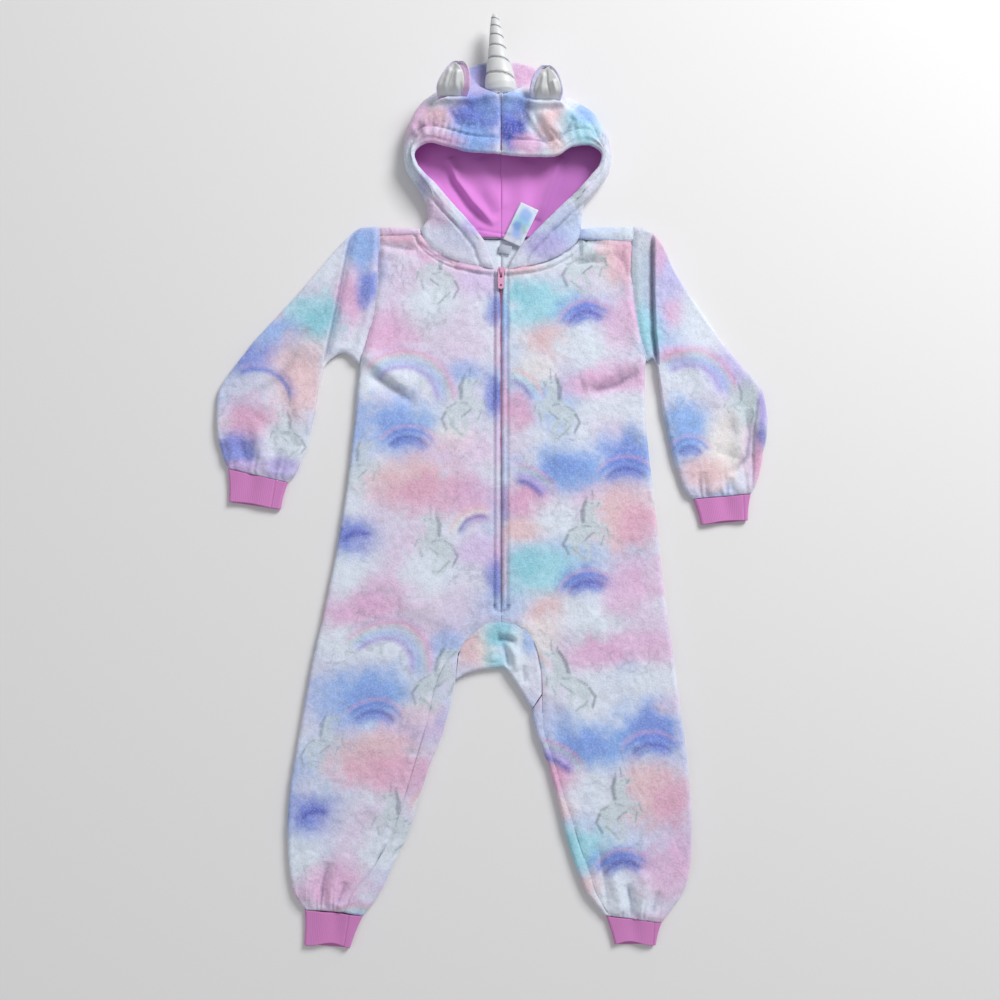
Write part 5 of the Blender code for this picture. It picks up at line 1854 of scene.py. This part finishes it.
LEFT_HOOD = tuple(HoodRow(*row) for row in (
    (846, 97, 853, 6.5, 0.5, 1.0, 14, 24, 820, 13), (858, 98, 860, 8.0, 0.5, 1.0, 18, 47, 843, 16),
    (870, 99, 868, 9.5, 0.5, 1.0, 21, 70, 865, 20), (884, 107, 878, 11.0, 0.6, 1.0, 23, 92, 885, 23),
    (898, 120, 893, 11.0, 0.8, 1.0, 24, 107, 902, 24), (912, 130, 909, 11.2, 0.9, 1.0, 25, 117, 914, 25),
    (926, 133, 926, 11.4, 0.9, 1.0, 27, 120, 925, 27), (940, 131, 943, 12.6, 0.7, 1.0, 30, 114, 933, 29),
    (954, 124, 961, 14.0, 0.5, 1.0, 34, 101, 936, 32), (966, 113, 979, 14.0, 0.3, 1.0, 36, 84, 933, 33),
    (976, 99, 990, 13.5, 0.18, 1.0, 37, 60, 920.5, 34),
    (986, 84, 999, 13.0, 0.10, 1.0, 38, HALF_GAP, 924, 34),
    (996, 71, 1011, 10.0, 0.22, 1.0, 38, HALF_GAP, 942, 36),
    (1004, 60, 1023, 9.0, 0.46, 1.1, 38, HALF_GAP, 961, 37),
    (1012, 48, 1035, 8.0, 0.72, 1.5, 38.5, HALF_GAP, 980, 38.5),
    (1019, 36, 1043, 6.5, 0.97, 8.0, 38.5, HALF_GAP, 993, 38.5),
    (1026, 19, 1049, 5.2, 0.97, 1.0, 11.5, HALF_GAP, 1000, 14),
    (1033, HALF_GAP, 1052, 5.0, 0.97, 1.0, 10, HALF_GAP, 1036, 10),
))
FINER = 4
CORNER_ROW = 1 + 11 * FINER


def finer(rows: tuple[HoodRow, ...]) -> tuple[HoodRow, ...]:
    """Rows with more between them, whose ridges run on smoothly from one to the next.

    Args:
        rows: the rows of the table.

    Returns:
        The denser rows.
    """
    sizes = np.array([astuple(row) for row in rows])
    keys = np.arange(len(rows), dtype=float)
    at = np.linspace(0, len(rows) - 1, (len(rows) - 1) * FINER + 1)
    return tuple(HoodRow(*(float(size) for size in found)) for found in monotone(sizes, keys, at))


HOOD_FOLDS = creases(
    (6.2, 3.6, 0, -82, 988, -58, 986.5, -34, 988), (6.2, 3.6, 0, 32, 983, 56, 981.5, 80, 983),
    (3.2, 4.5, 0, -44, 985, -22, 989, 2, 991), (3.2, 4.5, 0, 40, 983, 20, 989, -2, 991),
    (-4.4, 6, 0, -60, 978, -52, 968, -48, 956), (2.6, 8, 0, -40, 974, -36, 958),
    (-5.0, 6.5, 0.3, 26, 978, 36, 962, 46, 946, 58, 934), (3.6, 8, 0, 48, 974, 58, 956, 66, 940),
    (-2.8, 5, 0, 86, 966, 78, 950, 66, 938), (2.4, 8, 0, -104, 948, -96, 962, -84, 972),
    (-1.2, 5, 0, -22, 974, -24, 956, -20, 944), (-1.4, 5, 0, 22, 970, 20, 956, 24, 944),
    (-1.8, 10, 0, -40, 1000, -34, 972, -38, 950), (-1.8, 10, 0, 34, 1004, 30, 974, 34, 950),
    (2.0, 8, 0, -20, 1024, -14, 996, -12, 972), (2.0, 8, 0, 22, 1024, 16, 998, 12, 972),
    (-1.6, 9, 0, -110, 940, -88, 962, -60, 962), (-1.6, 9, 0, 124, 938, 98, 958, 70, 956),
    (1.4, 9, 0, -96, 880, -84, 892, -80, 910), (1.4, 9, 0, 106, 880, 92, 892, 90, 910),
    (1.2, 9, 0, -86, 862, -60, 846, -30, 826), (1.2, 9, 0, 92, 860, 66, 844, 34, 820),
)


@dataclass
class Hood:
    """The hood of fleece with its rolled edge, and the jersey lining inside it."""

    spacing: float = 1.8
    floor: int = 24
    arc: int = 14
    top: int = 82
    roll: int = 16
    wrap: float = 3.6
    casing: float = 18.0
    lining_depth: float = 3.4
    lining_short: float = 5.0

    def plain(self, side: Side, rows: tuple[HoodRow, ...], depth: float, columns: tuple[int, int, int],
              short: float = 0.0) -> Array:
        """Rows of one half without its rolled edge.

        Args:
            side: right or left.
            rows: sizes of that half.
            depth: how far inside its outer face.
            columns: points below, round the side and above.
            short: how far the end stops short of the opening.

        Returns:
            Points of the rows.
        """
        floor, arc, top = columns
        neck = HoodRow(0, 0, 0, EDGE, 0.5, 1.0, 2 * EDGE, 0, 0, 2 * EDGE)
        found = []
        for row in (neck, *rows):
            if row is neck:
                low_length = neck_length(BACK_DROP) - HALF_GAP
                top_length = neck_length(FRONT_DROP) - ZIP_MOUTH
                low = lambda d: side.neckline(d, BACK_DROP, -HALF_GAP)
                over = lambda d: side.neckline(d, FRONT_DROP, -HALF_GAP)
            else:
                edge = np.array((row.x_side, row.y_side), float)
                back = np.array((side.sign * HALF_GAP, row.y_back), float) - edge
                end = np.array((row.x_end, row.y_end), float) - edge
                low_length, top_length = np.linalg.norm(back), np.linalg.norm(end)
                low = lambda d, e=edge, way=back / low_length: e + way * np.asarray(d)[:, None]
                over = lambda d, e=edge, way=end / top_length: e + way * np.asarray(d)[:, None]
            radius = row.edge
            share = np.linspace(0, 1, floor, endpoint=False)
            d_low = low_length - (low_length - radius) * share
            angle, z_arc = turned(np.linspace(-1, 1, arc) * quarter(radius), radius, depth)
            under = np.linspace(-1, 1, arc) <= 0
            flat = top_length - radius
            reach = 1.0 if row is neck or abs(row.x_end) < 1 else max(0.3, 1 - short / flat)
            gone = np.linspace(0, reach, top + 1)[1:]
            plan = np.concatenate([low(d_low), np.where(under[:, None], low(angle), over(angle)),
                                   over(radius + flat * gone)])
            z = np.concatenate([np.full(floor, depth), z_arc, row.climb(gone) - depth])
            found.append(np.concatenate([plan, z[:, None]], axis=1))
        return np.array(found)

    def opening(self, side: Side, rows: tuple[HoodRow, ...]) -> Array:
        """Corners of the face opening's edge, from the zip to the forehead."""
        return np.array([side.neckline(neck_length(FRONT_DROP) - ZIP_MOUTH, FRONT_DROP)]
                        + [(row.x_end, row.y_end) for row in rows[:CORNER_ROW]], float)

    def half(self, side: Side, rows: tuple[HoodRow, ...], layout: Layout) -> Piece:
        """One half of the hood.

        Args:
            side: right or left.
            rows: sizes of that half.
            layout: print of the cloth.

        Returns:
            The finished piece.
        """
        flat = self.plain(side, rows, 0.0, (self.floor, self.arc, self.top))
        grid, (mark,) = dense_rows(flat, self.spacing, 2, (CORNER_ROW,))
        count = grid.shape[0]
        top_start = self.floor + self.arc
        edge = grid[:, -1, :2]
        tangent = unit(np.gradient(edge[:mark + 1], axis=0))
        normal = np.zeros((count, 2))
        normal[:mark + 1] = np.stack([tangent[:, 1], -tangent[:, 0]], axis=1) * -side.sign
        normal[mark:] = (0.0, -1.0)
        number = np.arange(count)
        blend = fade((number - mark + 12) / 12.0)[:, None]
        normal = unit(normal * (1 - blend) + np.array([0.0, -1.0]) * blend)
        wrap = self.wrap * (0.62 + 0.38 * fade(number / 14.0))
        pull = wrap * np.where(number <= mark, 1.0, fade(1 - (number - mark) / 12.0))
        share = np.linspace(0, 1, self.top + 1)[1:]
        back = fade((share - 0.55) / 0.45)
        lengths = np.linalg.norm(grid[:, -1, :2] - grid[:, top_start - 1, :2], axis=1)
        close = fade((share[None, :] - 1) * lengths[:, None] / 14.0 + 1)
        back = np.maximum(close, back[None, :] * fade(1 - lengths[:, None] / 30.0))
        grid[:, top_start:, :2] -= normal[:, None, :] * (pull[:, None] * back)[..., None]
        rise, dark = self.relief(grid, side, rows, top_start)
        grid[:, :, 2] += rise
        end = grid[:, -1].copy()
        swing = np.linspace(math.pi / 2, -math.pi / 2, self.roll - 5)[1:]
        curls = [np.concatenate([end[:, :2] + normal * (wrap * math.cos(a))[:, None],
                                 (end[:, 2] - wrap + wrap * math.sin(a))[:, None]], axis=1)
                 for a in swing]
        for inward in np.linspace(2.0, 8.5, self.roll - len(swing)):
            under = end.copy()
            under[:, :2] -= normal * inward
            under[:, 2] -= 2 * wrap
            curls.append(under)
        grid = np.concatenate([grid, np.stack(curls, axis=1)], axis=1)
        spare = (grid.shape[1] - 1) % 2
        grid = grid[:, :grid.shape[1] - spare]
        missing = np.zeros(((count - 1) // 2, (grid.shape[1] - 1) // 2), bool)
        missing[mark // 2:, (top_start + self.top - 1) // 2:] = True
        out = self.all_out(grid, Cloth.outside(grid[:, :top_start + self.top], Facing.ROUND))
        # The painted shade from relief(), padded out over the rolled edge's columns.
        dark = np.pad(dark, ((0, 0), (0, grid.shape[1] - dark.shape[1])))
        return fleece(f"cloth_hood_{side.word}", f"hood_{side.word}", grid, out,
                      layout.colour(grid), (dark, ()), missing=missing)

    @staticmethod
    def all_out(grid: Array, known: Array) -> Array:
        """Unit vectors out of a grid.

        Args:
            grid: rows of points.
            known: the vectors of its first columns.

        Returns:
            A vector at each point.
        """
        out = unit(np.cross(np.gradient(grid, axis=0), np.gradient(grid, axis=1)))
        same = (out[:, :known.shape[1]] * known).sum() > 0
        return out if same else -out

    def relief(self, grid: Array, side: Side, rows: tuple[HoodRow, ...],
               top_start: int) -> tuple[Array, Array]:
        """Shapes the upper layer by its casing and folds.

        Args:
            grid: points of the half.
            side: right or left.
            rows: sizes of that half.
            top_start: first column of the upper layer.

        Returns:
            Height gained, and painted shade along the casing, the centre seam, the neck seam and in the
            folds.
        """
        plan = grid[..., :2]
        opening = self.opening(side, rows)
        by_edge, _, share = line_distance(plan, opening)
        brow = fade((plan[..., 1] - 905) / 25)
        casing = self.casing - 2.5 + 3.0 * brow
        by_casing = by_edge - casing
        pucker = np.sin(share * (26 + 8 * np.sin(share * 9)) * math.tau / 2.0)
        rise = -1.7 * bump(by_casing, 1.7) + 1.3 * bump(by_edge - casing / 2, casing / 2.6)
        rise += 0.75 * pucker * bump(by_edge - casing * 0.75, 8) * (0.3 + 0.7 * brow)
        rise += 0.9 * pucker * bump(by_edge - casing * 1.35, 7) * brow
        neck = side.neckline(np.linspace(0, neck_length(FRONT_DROP), 30), FRONT_DROP)
        by_neck = near(plan, neck)
        rise += -2.0 * bump(by_neck, 2.6)
        above = fade((plan[..., 1] - 922) / 8)
        rise += -1.2 * bump(np.abs(plan[..., 0]), 2.6) * above * fade((992 - plan[..., 1]) / 8)
        rise += 0.8 * bump(np.abs(plan[..., 0]) - 7, 4.5) * above
        rise += risen(plan, HOOD_FOLDS)
        rise += 0.9 * LIE_NOISE.at(grid, 40.0) + 0.5 * LIE_NOISE.at(grid + 50.0, 18.0)
        upper = np.zeros(grid.shape[:2])
        upper[:, top_start - 6:] = 1.0
        soft = fade((np.arange(grid.shape[1]) - top_start + 7) / 8.0)[None, :]
        # Painted shade: along the casing, deeper in its puckers, down the centre seam, along the neck seam
        # and in the folds.
        dark = 0.34 * bump(by_casing, 1.4) * (0.6 + 0.4 * pucker) + 0.3 * bump(plan[..., 0], 1.3) * above
        dark += 0.22 * bump(by_neck, 1.3)
        for fold in HOOD_FOLDS:
            dark += fold.shadow(plan)
        return np.maximum(rise, -self.lining_depth + 1.2) * upper * soft, dark * upper

    def lining(self, side: Side, rows: tuple[HoodRow, ...]) -> Piece:
        """One half of the lining; its dense face looks into the hood.

        Args:
            side: right or left.
            rows: sizes of that half.

        Returns:
            The finished piece.
        """
        flat = self.plain(side, rows, self.lining_depth + JERSEY_WALL, (48, 10, 35), self.lining_short)
        flat[0] += (flat[1] - flat[0]) * 0.10
        grid, _ = dense_rows(flat, 2.0, 2)
        low = fade((12.0 - grid[..., 2]) / 6.0)
        plan = grid[..., :2]
        rise = risen(plan, LINING_FOLDS) + 0.7 * (LIE_NOISE.at(grid + 77.0, 26.0) + 1)
        grid[..., 2] += low * np.maximum(rise, -0.8) * fade(np.abs(plan[..., 0]) / 3 + 0.4)
        out = Cloth.outside(grid, Facing.HOLLOW)
        colour = np.broadcast_to(np.array(LINING_DYE), grid.shape).copy()
        # Painted shade over the inner wall on the left half, which lies in shadow, and in the lining's folds;
        # the noise adds tone that differs at random.
        aside = 0.24 * fade((plan[..., 0] - 46 - 0.35 * (plan[..., 1] - 880)) / 10) * low
        shaded(colour, plan, LINING_FOLDS, aside + 0.08 * LIE_NOISE.at(grid, 24.0))
        piece = Cloth.shell(f"jersey_lining_{side.word}", grid, out, JERSEY_WALL, 2, colour=colour,
                            reverse=np.array(LINING_DYE))
        return Cloth.attach(piece, JERSEY, "jersey", [f"lining_{side.word}"])

    def build(self) -> list[Piece]:
        """Makes both halves and their lining."""
        right, left = finer(RIGHT_HOOD), finer(LEFT_HOOD)
        return [self.half(RIGHT, right, Layout(PALE, own=RIGHT_HOOD_MARKS)),
                self.half(LEFT, left, Layout(PALE, own=LEFT_HOOD_MARKS)),
                self.lining(RIGHT, right), self.lining(LEFT, left)]


LINING_FOLDS = creases(
    (6.5, 5, 0.5, -64, 930, -54, 902, -34, 874, -8, 846),
    (-1.5, 4.5, 0, -70, 924, -60, 899, -41, 870, -16, 846), (4.0, 9, 0, -92, 904, -70, 880, -40, 850),
    (3.0, 12, 0, -24, 930, -14, 896, 0, 866), (-1.0, 6, 0, -24, 888, -14, 870, -8, 856),
    (5.0, 8, -0.5, 74, 932, 62, 898, 46, 852), (2.6, 11, 0, 36, 926, 28, 896, 24, 862),
    (2.0, 4, 0, -26, 838, -8, 834, 12, 832),
) + (Groove(((-28, 842), (-8, 838), (12, 836)), 1.2, 1.4),)


# ---- ears and horn


@dataclass(frozen=True)
class Ear:
    """A leaf-shaped ear: fleece behind, satin in it."""

    word: str
    x: float
    y: float
    z: float
    width: float
    length: float
    rise: float
    lean: float
    creases: tuple[Fold, ...]
    layout: Layout
    aside: float = 0.0
    cup: float = 4.0
    rim: float = 4.4
    dive: float = 12.0

    def grid(self, lift: float, shrink: float, rows: int, columns: int) -> Array:
        """The ear's face from its base to its tip.

        Args:
            lift: how far it is raised.
            shrink: how much narrower and shorter it is than the ear.
            rows: how many rows of points.
            columns: how many points in a row.

        Returns:
            Rows of points.
        """
        v = np.sin(np.linspace(0, 1, rows) * math.pi / 2)[:, None]
        u = np.linspace(-1, 1, columns)[None, :]
        half = self.width / 2 * np.sqrt(np.maximum(0.0, 1 - (v * 0.985) ** 2.3)) - shrink
        half = np.maximum(half * (0.82 + 0.18 * fade(v / 0.3)), 2.0)
        up = (shrink / 2 + (self.length - shrink) * v) / self.length
        x = self.x + self.lean * up + half * u
        z = (self.z + lift + self.rise * up - self.dive * np.maximum(0.0, 1 - up / 0.35) ** 2
             + self.cup * up * (half * u / (self.width / 2)) ** 2)
        return np.stack([x, self.y + self.length * up + 0 * x, z], axis=-1)

    def build(self) -> list[Piece]:
        """Makes the two layers."""
        back = self.grid(0.0, 0.0, 33, 41)
        u = np.linspace(-1, 1, 41)[None, :]
        v = np.linspace(0, 1, 33)[:, None]
        rim = np.maximum(np.abs(u) ** 6, fade((v - 0.80) / 0.2))
        back[..., 2] += 1.6 * rim - 2.0 * np.abs(u) ** 30 - 1.6 * fade((v - 0.95) / 0.05)
        out = Cloth.outside(back, Facing.UP)
        behind = fleece(f"ear_{self.word}_fleece", f"ear_{self.word}_outer", back, out,
                        self.layout.colour(back), wall=EAR_WALL)
        front = self.grid(1.9, self.rim, 33, 41)
        front[..., 0] += self.aside
        plan = front[..., :2]
        rise = 0.45 * LIE_NOISE.at(front, 6.0) + 0.4 + 1.0 * (1 - u ** 2) * (1 - v)
        colour = np.broadcast_to(np.array(SATIN_DYE), front.shape).copy()
        # Painted shade in the satin's creases.
        for fold in self.creases:
            rise += fold.rise(plan - (self.x, self.y))
            dark = 2.2 * fold.shadow(plan - (self.x, self.y))
            colour *= 1 - np.clip(dark, 0, 0.6)[..., None]
        rise -= 1.5 * np.abs(u) ** 8 + 1.4 * fade((v - 0.9) / 0.1)
        front[..., 2] += rise
        out = Cloth.outside(front, Facing.UP)
        satin = Cloth.shell(f"ear_{self.word}_satin", front, out, SATIN_WALL, 2, colour=colour,
                            reverse=np.array(SATIN_DYE))
        Cloth.attach(satin, SATIN, "satin", [f"ear_{self.word}_inner"])
        return [behind, satin]


EARS = (
    Ear("right", -58.5, 989.5, 42.2, 41, 37, 12, 9.0,
        (Crease(((5, 33), (0, 20), (-5, 6)), -1.5, 1.8, 0.3), Crease(((-9, 5), (-5, 16), (0, 28)), 3.4, 2.8),
         Crease(((6, 4), (6, 16), (8, 27)), 3.2, 3.0), Crease(((12, 4), (11, 14)), -1.0, 1.8)),
        Layout(LILAC, own=(Wash(-44, 1010, 14, 20, PINK, 0.7),)), -3.2),
    Ear("left", 53.5, 985, 42.2, 41, 36, 12, -0.5,
        (Crease(((0, 31), (1, 18), (5, 5)), -1.5, 1.7, -0.3), Crease(((-7, 5), (-5, 16), (-3, 27)), 3.2, 2.8),
         Crease(((11, 6), (7, 20)), 3.2, 2.6), Crease(((-13, 3), (-10, 13)), -1.0, 1.8)),
        Layout(LAVENDER, own=(Wash(70, 1006, 12, 30, PALE, 0.9),)), 1.6),
)


@dataclass
class Horn:
    """The stuffed satin horn, drawn in by two spiral threads."""

    base: Spot = (0.5, 998.0, 26.5)
    tip: Spot = (-8.0, 1102.0, 22.0)
    sizes: tuple[Spot, ...] = (
        (0.0, 12.5, 9.0), (0.04, 16.8, 12.2), (0.11, 18.4, 13.6), (0.25, 16.4, 13.4),
        (0.42, 13.0, 11.6), (0.6, 10.1, 9.4), (0.75, 7.9, 7.6), (0.87, 5.9, 5.8), (0.95, 4.2, 4.1),
        (0.985, 2.5, 2.5), (1.0, 0.6, 0.6))
    turns: float = 6.8
    rows: int = 150
    columns: int = 96

    def frame(self) -> tuple[Array, Array, Array, Array]:
        """The horn's base, its axis with its length, and the two ways across it."""
        base, tip = np.array(self.base), np.array(self.tip)
        axis = unit(tip - base)
        right = unit(np.cross(axis, (0, 0, 1.0)))
        return base, tip - base, right, np.cross(right, axis)

    def surface(self, share: Array, angle: Array, lift: float = 0.0) -> Array:
        """Points on the horn.

        Args:
            share: how far from its base to its tip.
            angle: where round it.
            lift: how far outside its skin.

        Returns:
            The points.
        """
        base, run, right, up = self.frame()
        sizes = np.array(self.sizes)
        wide, high = (np.interp(share, sizes[:, 0], sizes[:, k]) for k in (1, 2))
        turn = self.spiral(share) - angle / math.tau
        wave = np.abs(turn % 1.0 - 0.5) * 2
        bulge = 1.0 - 0.10 * np.exp(-((1 - wave) / 0.13) ** 2) * fade((1 - share) / 0.1)
        bulge = bulge + 0.035 * (1 - wave ** 2)
        crumple = 0.016 * np.sin(angle * 8 + 9 * np.sin(share * 31)) * np.exp(-((1 - wave) / 0.4) ** 2)
        scale = bulge + crumple * fade((share - 0.02) / 0.1) * fade((1 - share) / 0.1)
        centre = base + run * share[..., None]
        return (centre + right * ((wide * scale + lift) * np.cos(angle))[..., None]
                + up * ((high * scale + lift) * np.sin(angle))[..., None])

    def spiral(self, share: Array) -> Array:
        """Turns that the thread has made at a share of the length; they close up at the tip."""
        return self.turns * (0.66 * share + 0.34 * share ** 3) + 0.24

    def build(self) -> list[Piece]:
        """Makes the horn and its two threads."""
        share = (1 - np.cos(np.linspace(0, 1, self.rows) * math.pi)) / 2
        share = 0.5 * share + 0.5 * np.linspace(0, 1, self.rows)
        angle = np.arange(self.columns) / self.columns * math.tau
        grid = self.surface(np.repeat(share[:, None], self.columns, axis=1),
                            np.repeat(angle[None, :], self.rows, axis=0))
        vertices = np.concatenate([grid.reshape(-1, 3), [self.base], [grid[-1].mean(axis=0)]])
        last = (self.rows - 1) * self.columns
        faces = []
        for k in range(self.columns):
            after = (k + 1) % self.columns
            faces.append([len(vertices) - 2, k, after])
            faces.append([last + after, last + k, len(vertices) - 1])
            faces += [[r + k, r + self.columns + k, r + self.columns + after, r + after]
                      for r in range(0, last, self.columns)]
        dye = np.broadcast_to(np.array(SATIN_DYE), (len(vertices), 3))
        satin = Cloth.mesh("horn_satin", vertices, faces, dye)
        Cloth.attach(satin, SATIN, "satin", ["horn"])
        threads = []
        for number, apart in enumerate((-0.045, 0.045)):
            along = np.linspace(0.03, 0.975, 420)
            points = self.surface(along, (self.spiral(along) + apart) * math.tau, 0.15)
            thread = Cloth.mesh(f"horn_thread_{number}", *thread_mesh(points, 0.26))
            threads.append(Cloth.attach(thread, SILVER_THREAD, "satin"))
        return [satin, *threads]


def thread_mesh(points: Array, radius: float, start: int = 0) -> tuple[Array, list[list[int]]]:
    """Points and faces of a round thread.

    Args:
        points: its middle line.
        radius: half its thickness.
        start: number of its first point.

    Returns:
        The points, and the corner numbers of each face.
    """
    sides = THREAD_SIDES
    along = unit(np.gradient(points, axis=0))
    side = unit(np.cross(along, np.array([0.03, 0.02, 1.0])))
    up = np.cross(side, along)
    angle = np.arange(sides) / sides * math.tau
    ring = (points[:, None, :] + radius * (np.cos(angle)[None, :, None] * side[:, None, :]
                                           + np.sin(angle)[None, :, None] * up[:, None, :]))
    last = start + (len(points) - 1) * sides
    faces = [[a + k, a + sides + k, a + sides + (k + 1) % sides, a + (k + 1) % sides]
             for a in range(start, last, sides) for k in range(sides)]
    faces += [list(range(start, start + sides)), list(range(last, last + sides))[::-1]]
    return ring.reshape(-1, 3), faces


# ---- zip and labels


@dataclass
class Zip:
    """The closed zip: meshed teeth on the woven tape, and its lacquered metal."""

    pitch: float = 2.5
    half: float = 2.3
    top: float = 783.0
    foot: float = 391.0
    z: float = 5.3

    def teeth(self) -> Piece:
        """The teeth: two rows of nylon loops that mesh along the middle."""
        vertices, faces = [], []
        count = int((self.top - self.foot) / self.pitch)
        for k in range(count):
            y = self.foot + (k + 0.5) * self.pitch
            for sign in (-1, 1):
                lift = 0.5 * self.pitch * (0.5 + 0.5 * sign) / 2
                t = np.linspace(0, 1, 7)
                loop = np.stack([sign * (self.half - (self.half + 0.35) * np.sin(t * math.pi)),
                                 y + lift + 0.62 * (t - 0.5) * 2 * 0.5,
                                 self.z - 0.1 + 0.55 * np.sin(t * math.pi)], axis=1)
                points, found = thread_mesh(loop, 0.52, len(vertices) * len(t) * THREAD_SIDES)
                vertices.append(points)
                faces += found
        piece = Cloth.mesh("zip_teeth", np.concatenate(vertices), faces)
        return Cloth.attach(piece, TEETH, "zip_teeth", ["zip_coil"])

    def build(self) -> list[Piece]:
        """Makes the teeth and dresses the tape, stop, slider and pull tab."""
        for node, finish in (("zip_tape_right", TAPE), ("zip_tape_left", TAPE), ("zip_stop", LACQUER),
                             ("zip_slider", LACQUER), ("zip_pull", LACQUER)):
            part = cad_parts[node]
            material = finish.material()
            for slot in part.material_slots:
                slot.material = material
            LOG.info("%s: %s on the packed node", node, finish.name)
        return [self.teeth()]


@dataclass(frozen=True)
class Label:
    """A blank satin label, sewn in at its head."""

    name: str
    foot: Point
    head: Point
    width: float
    z_foot: float
    z_head: float
    arch: float
    ground: Tone
    washes: tuple[Wash, ...] = ()

    def build(self) -> list[Piece]:
        """Makes the label."""
        foot, head = np.array(self.foot, float), np.array(self.head, float)
        run = head - foot
        across = np.array([run[1], -run[0]]) / np.linalg.norm(run) * self.width / 2
        v = np.linspace(0, 1, 33)[:, None]
        u = np.linspace(-1, 1, 21)[None, :]
        plan = foot + run * v[..., None] + across * u[..., None]
        z = (self.z_foot + (self.z_head - self.z_foot) * v + self.arch * 4 * v * (1 - v)
             + 0.3 * (1 - u ** 2) + 0.4 * np.sin(v * 5 + u * 1.3) * (1 - v))
        grid = np.concatenate([plan, z[..., None] + 0.3], axis=-1)
        colour = Layout(self.ground, own=self.washes).colour(grid)
        out = Cloth.outside(grid, Facing.UP)
        piece = Cloth.shell(self.name.replace("label", "satin_label"), grid, out, 0.5, 2, colour=colour)
        return [Cloth.attach(piece, LABEL, "label", [self.name])]


LABELS = (
    Label("label_care", (13, 824), (34.5, 869), 23.5, 6.5, 8.0, 1.0, WHITE,
          (Wash(19, 837, 7, 8, SKY, 0.8), Wash(25, 848, 8, 8, TEAL, 0.8),
           Wash(20, 844, 5, 5, PERIWINKLE, 0.6), Wash(30, 858, 6, 7, SKY, 0.8),
           Wash(27, 839, 4, 5, SAGE, 0.6))),
    Label("label_size", (4, 812), (6, 822), 15, 4.8, 5.0, 0.3, SLATE),
)


# ---- studio


@dataclass
class Studio:
    """A pale floor, soft light and the camera."""

    lens: float = 37.98
    eye: Spot = (0.0108, -0.1305, 1.2459)
    aim: Spot = (0.0108, -0.0346, 0.0)
    floor_half: float = 3.0

    def floor(self) -> None:
        """The floor under the garment."""
        far, level = self.floor_half, -0.0004
        mesh = bpy.data.meshes.new("floor")
        mesh.from_pydata([(-far, -far, level), (far, -far, level), (far, far, level), (-far, far, level)],
                         [], [(0, 1, 2, 3)])
        material = bpy.data.materials.new("pale_floor")
        material.use_nodes = True
        given = material.node_tree.nodes["Principled BSDF"].inputs
        given["Base Color"].default_value = (0.80, 0.79, 0.78, 1.0)
        given["Roughness"].default_value = 0.7
        mesh.materials.append(material)
        self.place("floor", mesh)

    @staticmethod
    def place(name: str, data: bpy.types.ID, at: Spot = (0, 0, 0), aim: Spot | None = None) -> Piece:
        """Puts an object in the scene.

        Args:
            name: its name.
            data: its lamp or camera data.
            at: where it stands.
            aim: what it looks at.

        Returns:
            The object.
        """
        made = bpy.data.objects.new(name, data)
        made.location = at
        if aim is not None:
            made.rotation_euler = (Vector(aim) - Vector(at)).to_track_quat("-Z", "Y").to_euler()
        bpy.context.scene.collection.objects.link(made)
        return made

    def lamp(self, name: str, place: Spot, power: float, size: float, colour: Spot) -> None:
        """A square softbox aimed at the garment.

        Args:
            name: its name.
            place: where it stands.
            power: watts.
            size: side of the square.
            colour: of its light.
        """
        light = bpy.data.lights.new(name, "AREA")
        light.energy, light.size, light.color = power, size, colour
        self.place(name, light, place, (0, 0, 0))

    def camera(self) -> None:
        """The camera over the garment."""
        camera = bpy.data.cameras.new("camera")
        camera.lens, camera.sensor_width, camera.clip_start = self.lens, 36.0, 0.01
        bpy.context.scene.camera = self.place("camera", camera, self.eye, self.aim)

    def build(self) -> None:
        """Sets up the studio."""
        self.floor()
        self.lamp("key", (1.9, 2.1, 2.2), 112.0, 1.4, (0.985, 0.99, 1.0))
        self.lamp("fill", (-1.9, -1.2, 2.2), 9.0, 2.0, (0.96, 0.97, 1.0))
        world = bpy.data.worlds.new("studio")
        bpy.context.scene.world = world
        world.use_nodes = True
        given = world.node_tree.nodes["Background"].inputs
        given["Color"].default_value = (0.95, 0.96, 1.0, 1.0)
        given["Strength"].default_value = 0.38
        bpy.context.scene.view_settings.view_transform = "Standard"
        self.camera()


# ---- cut sizes


@dataclass(frozen=True)
class Cut:
    """The size that one piece of cloth was cut to, in metres."""

    piece: str
    width: float
    length: float
    area: float
    rests_on: str = "floor"
    held: str = "laid"


def main() -> None:
    """Builds and dresses the garment."""
    logging.basicConfig(level=logging.INFO, format="%(message)s")
    Studio().build()
    makers = (Body(), RIGHT_SLEEVE, LEFT_SLEEVE, *CUFFS, Hood(), *EARS, Horn(), Zip(), *LABELS)
    pieces = {piece.name: piece for maker in makers for piece in maker.build()}


if __name__ == "__main__":
    main()
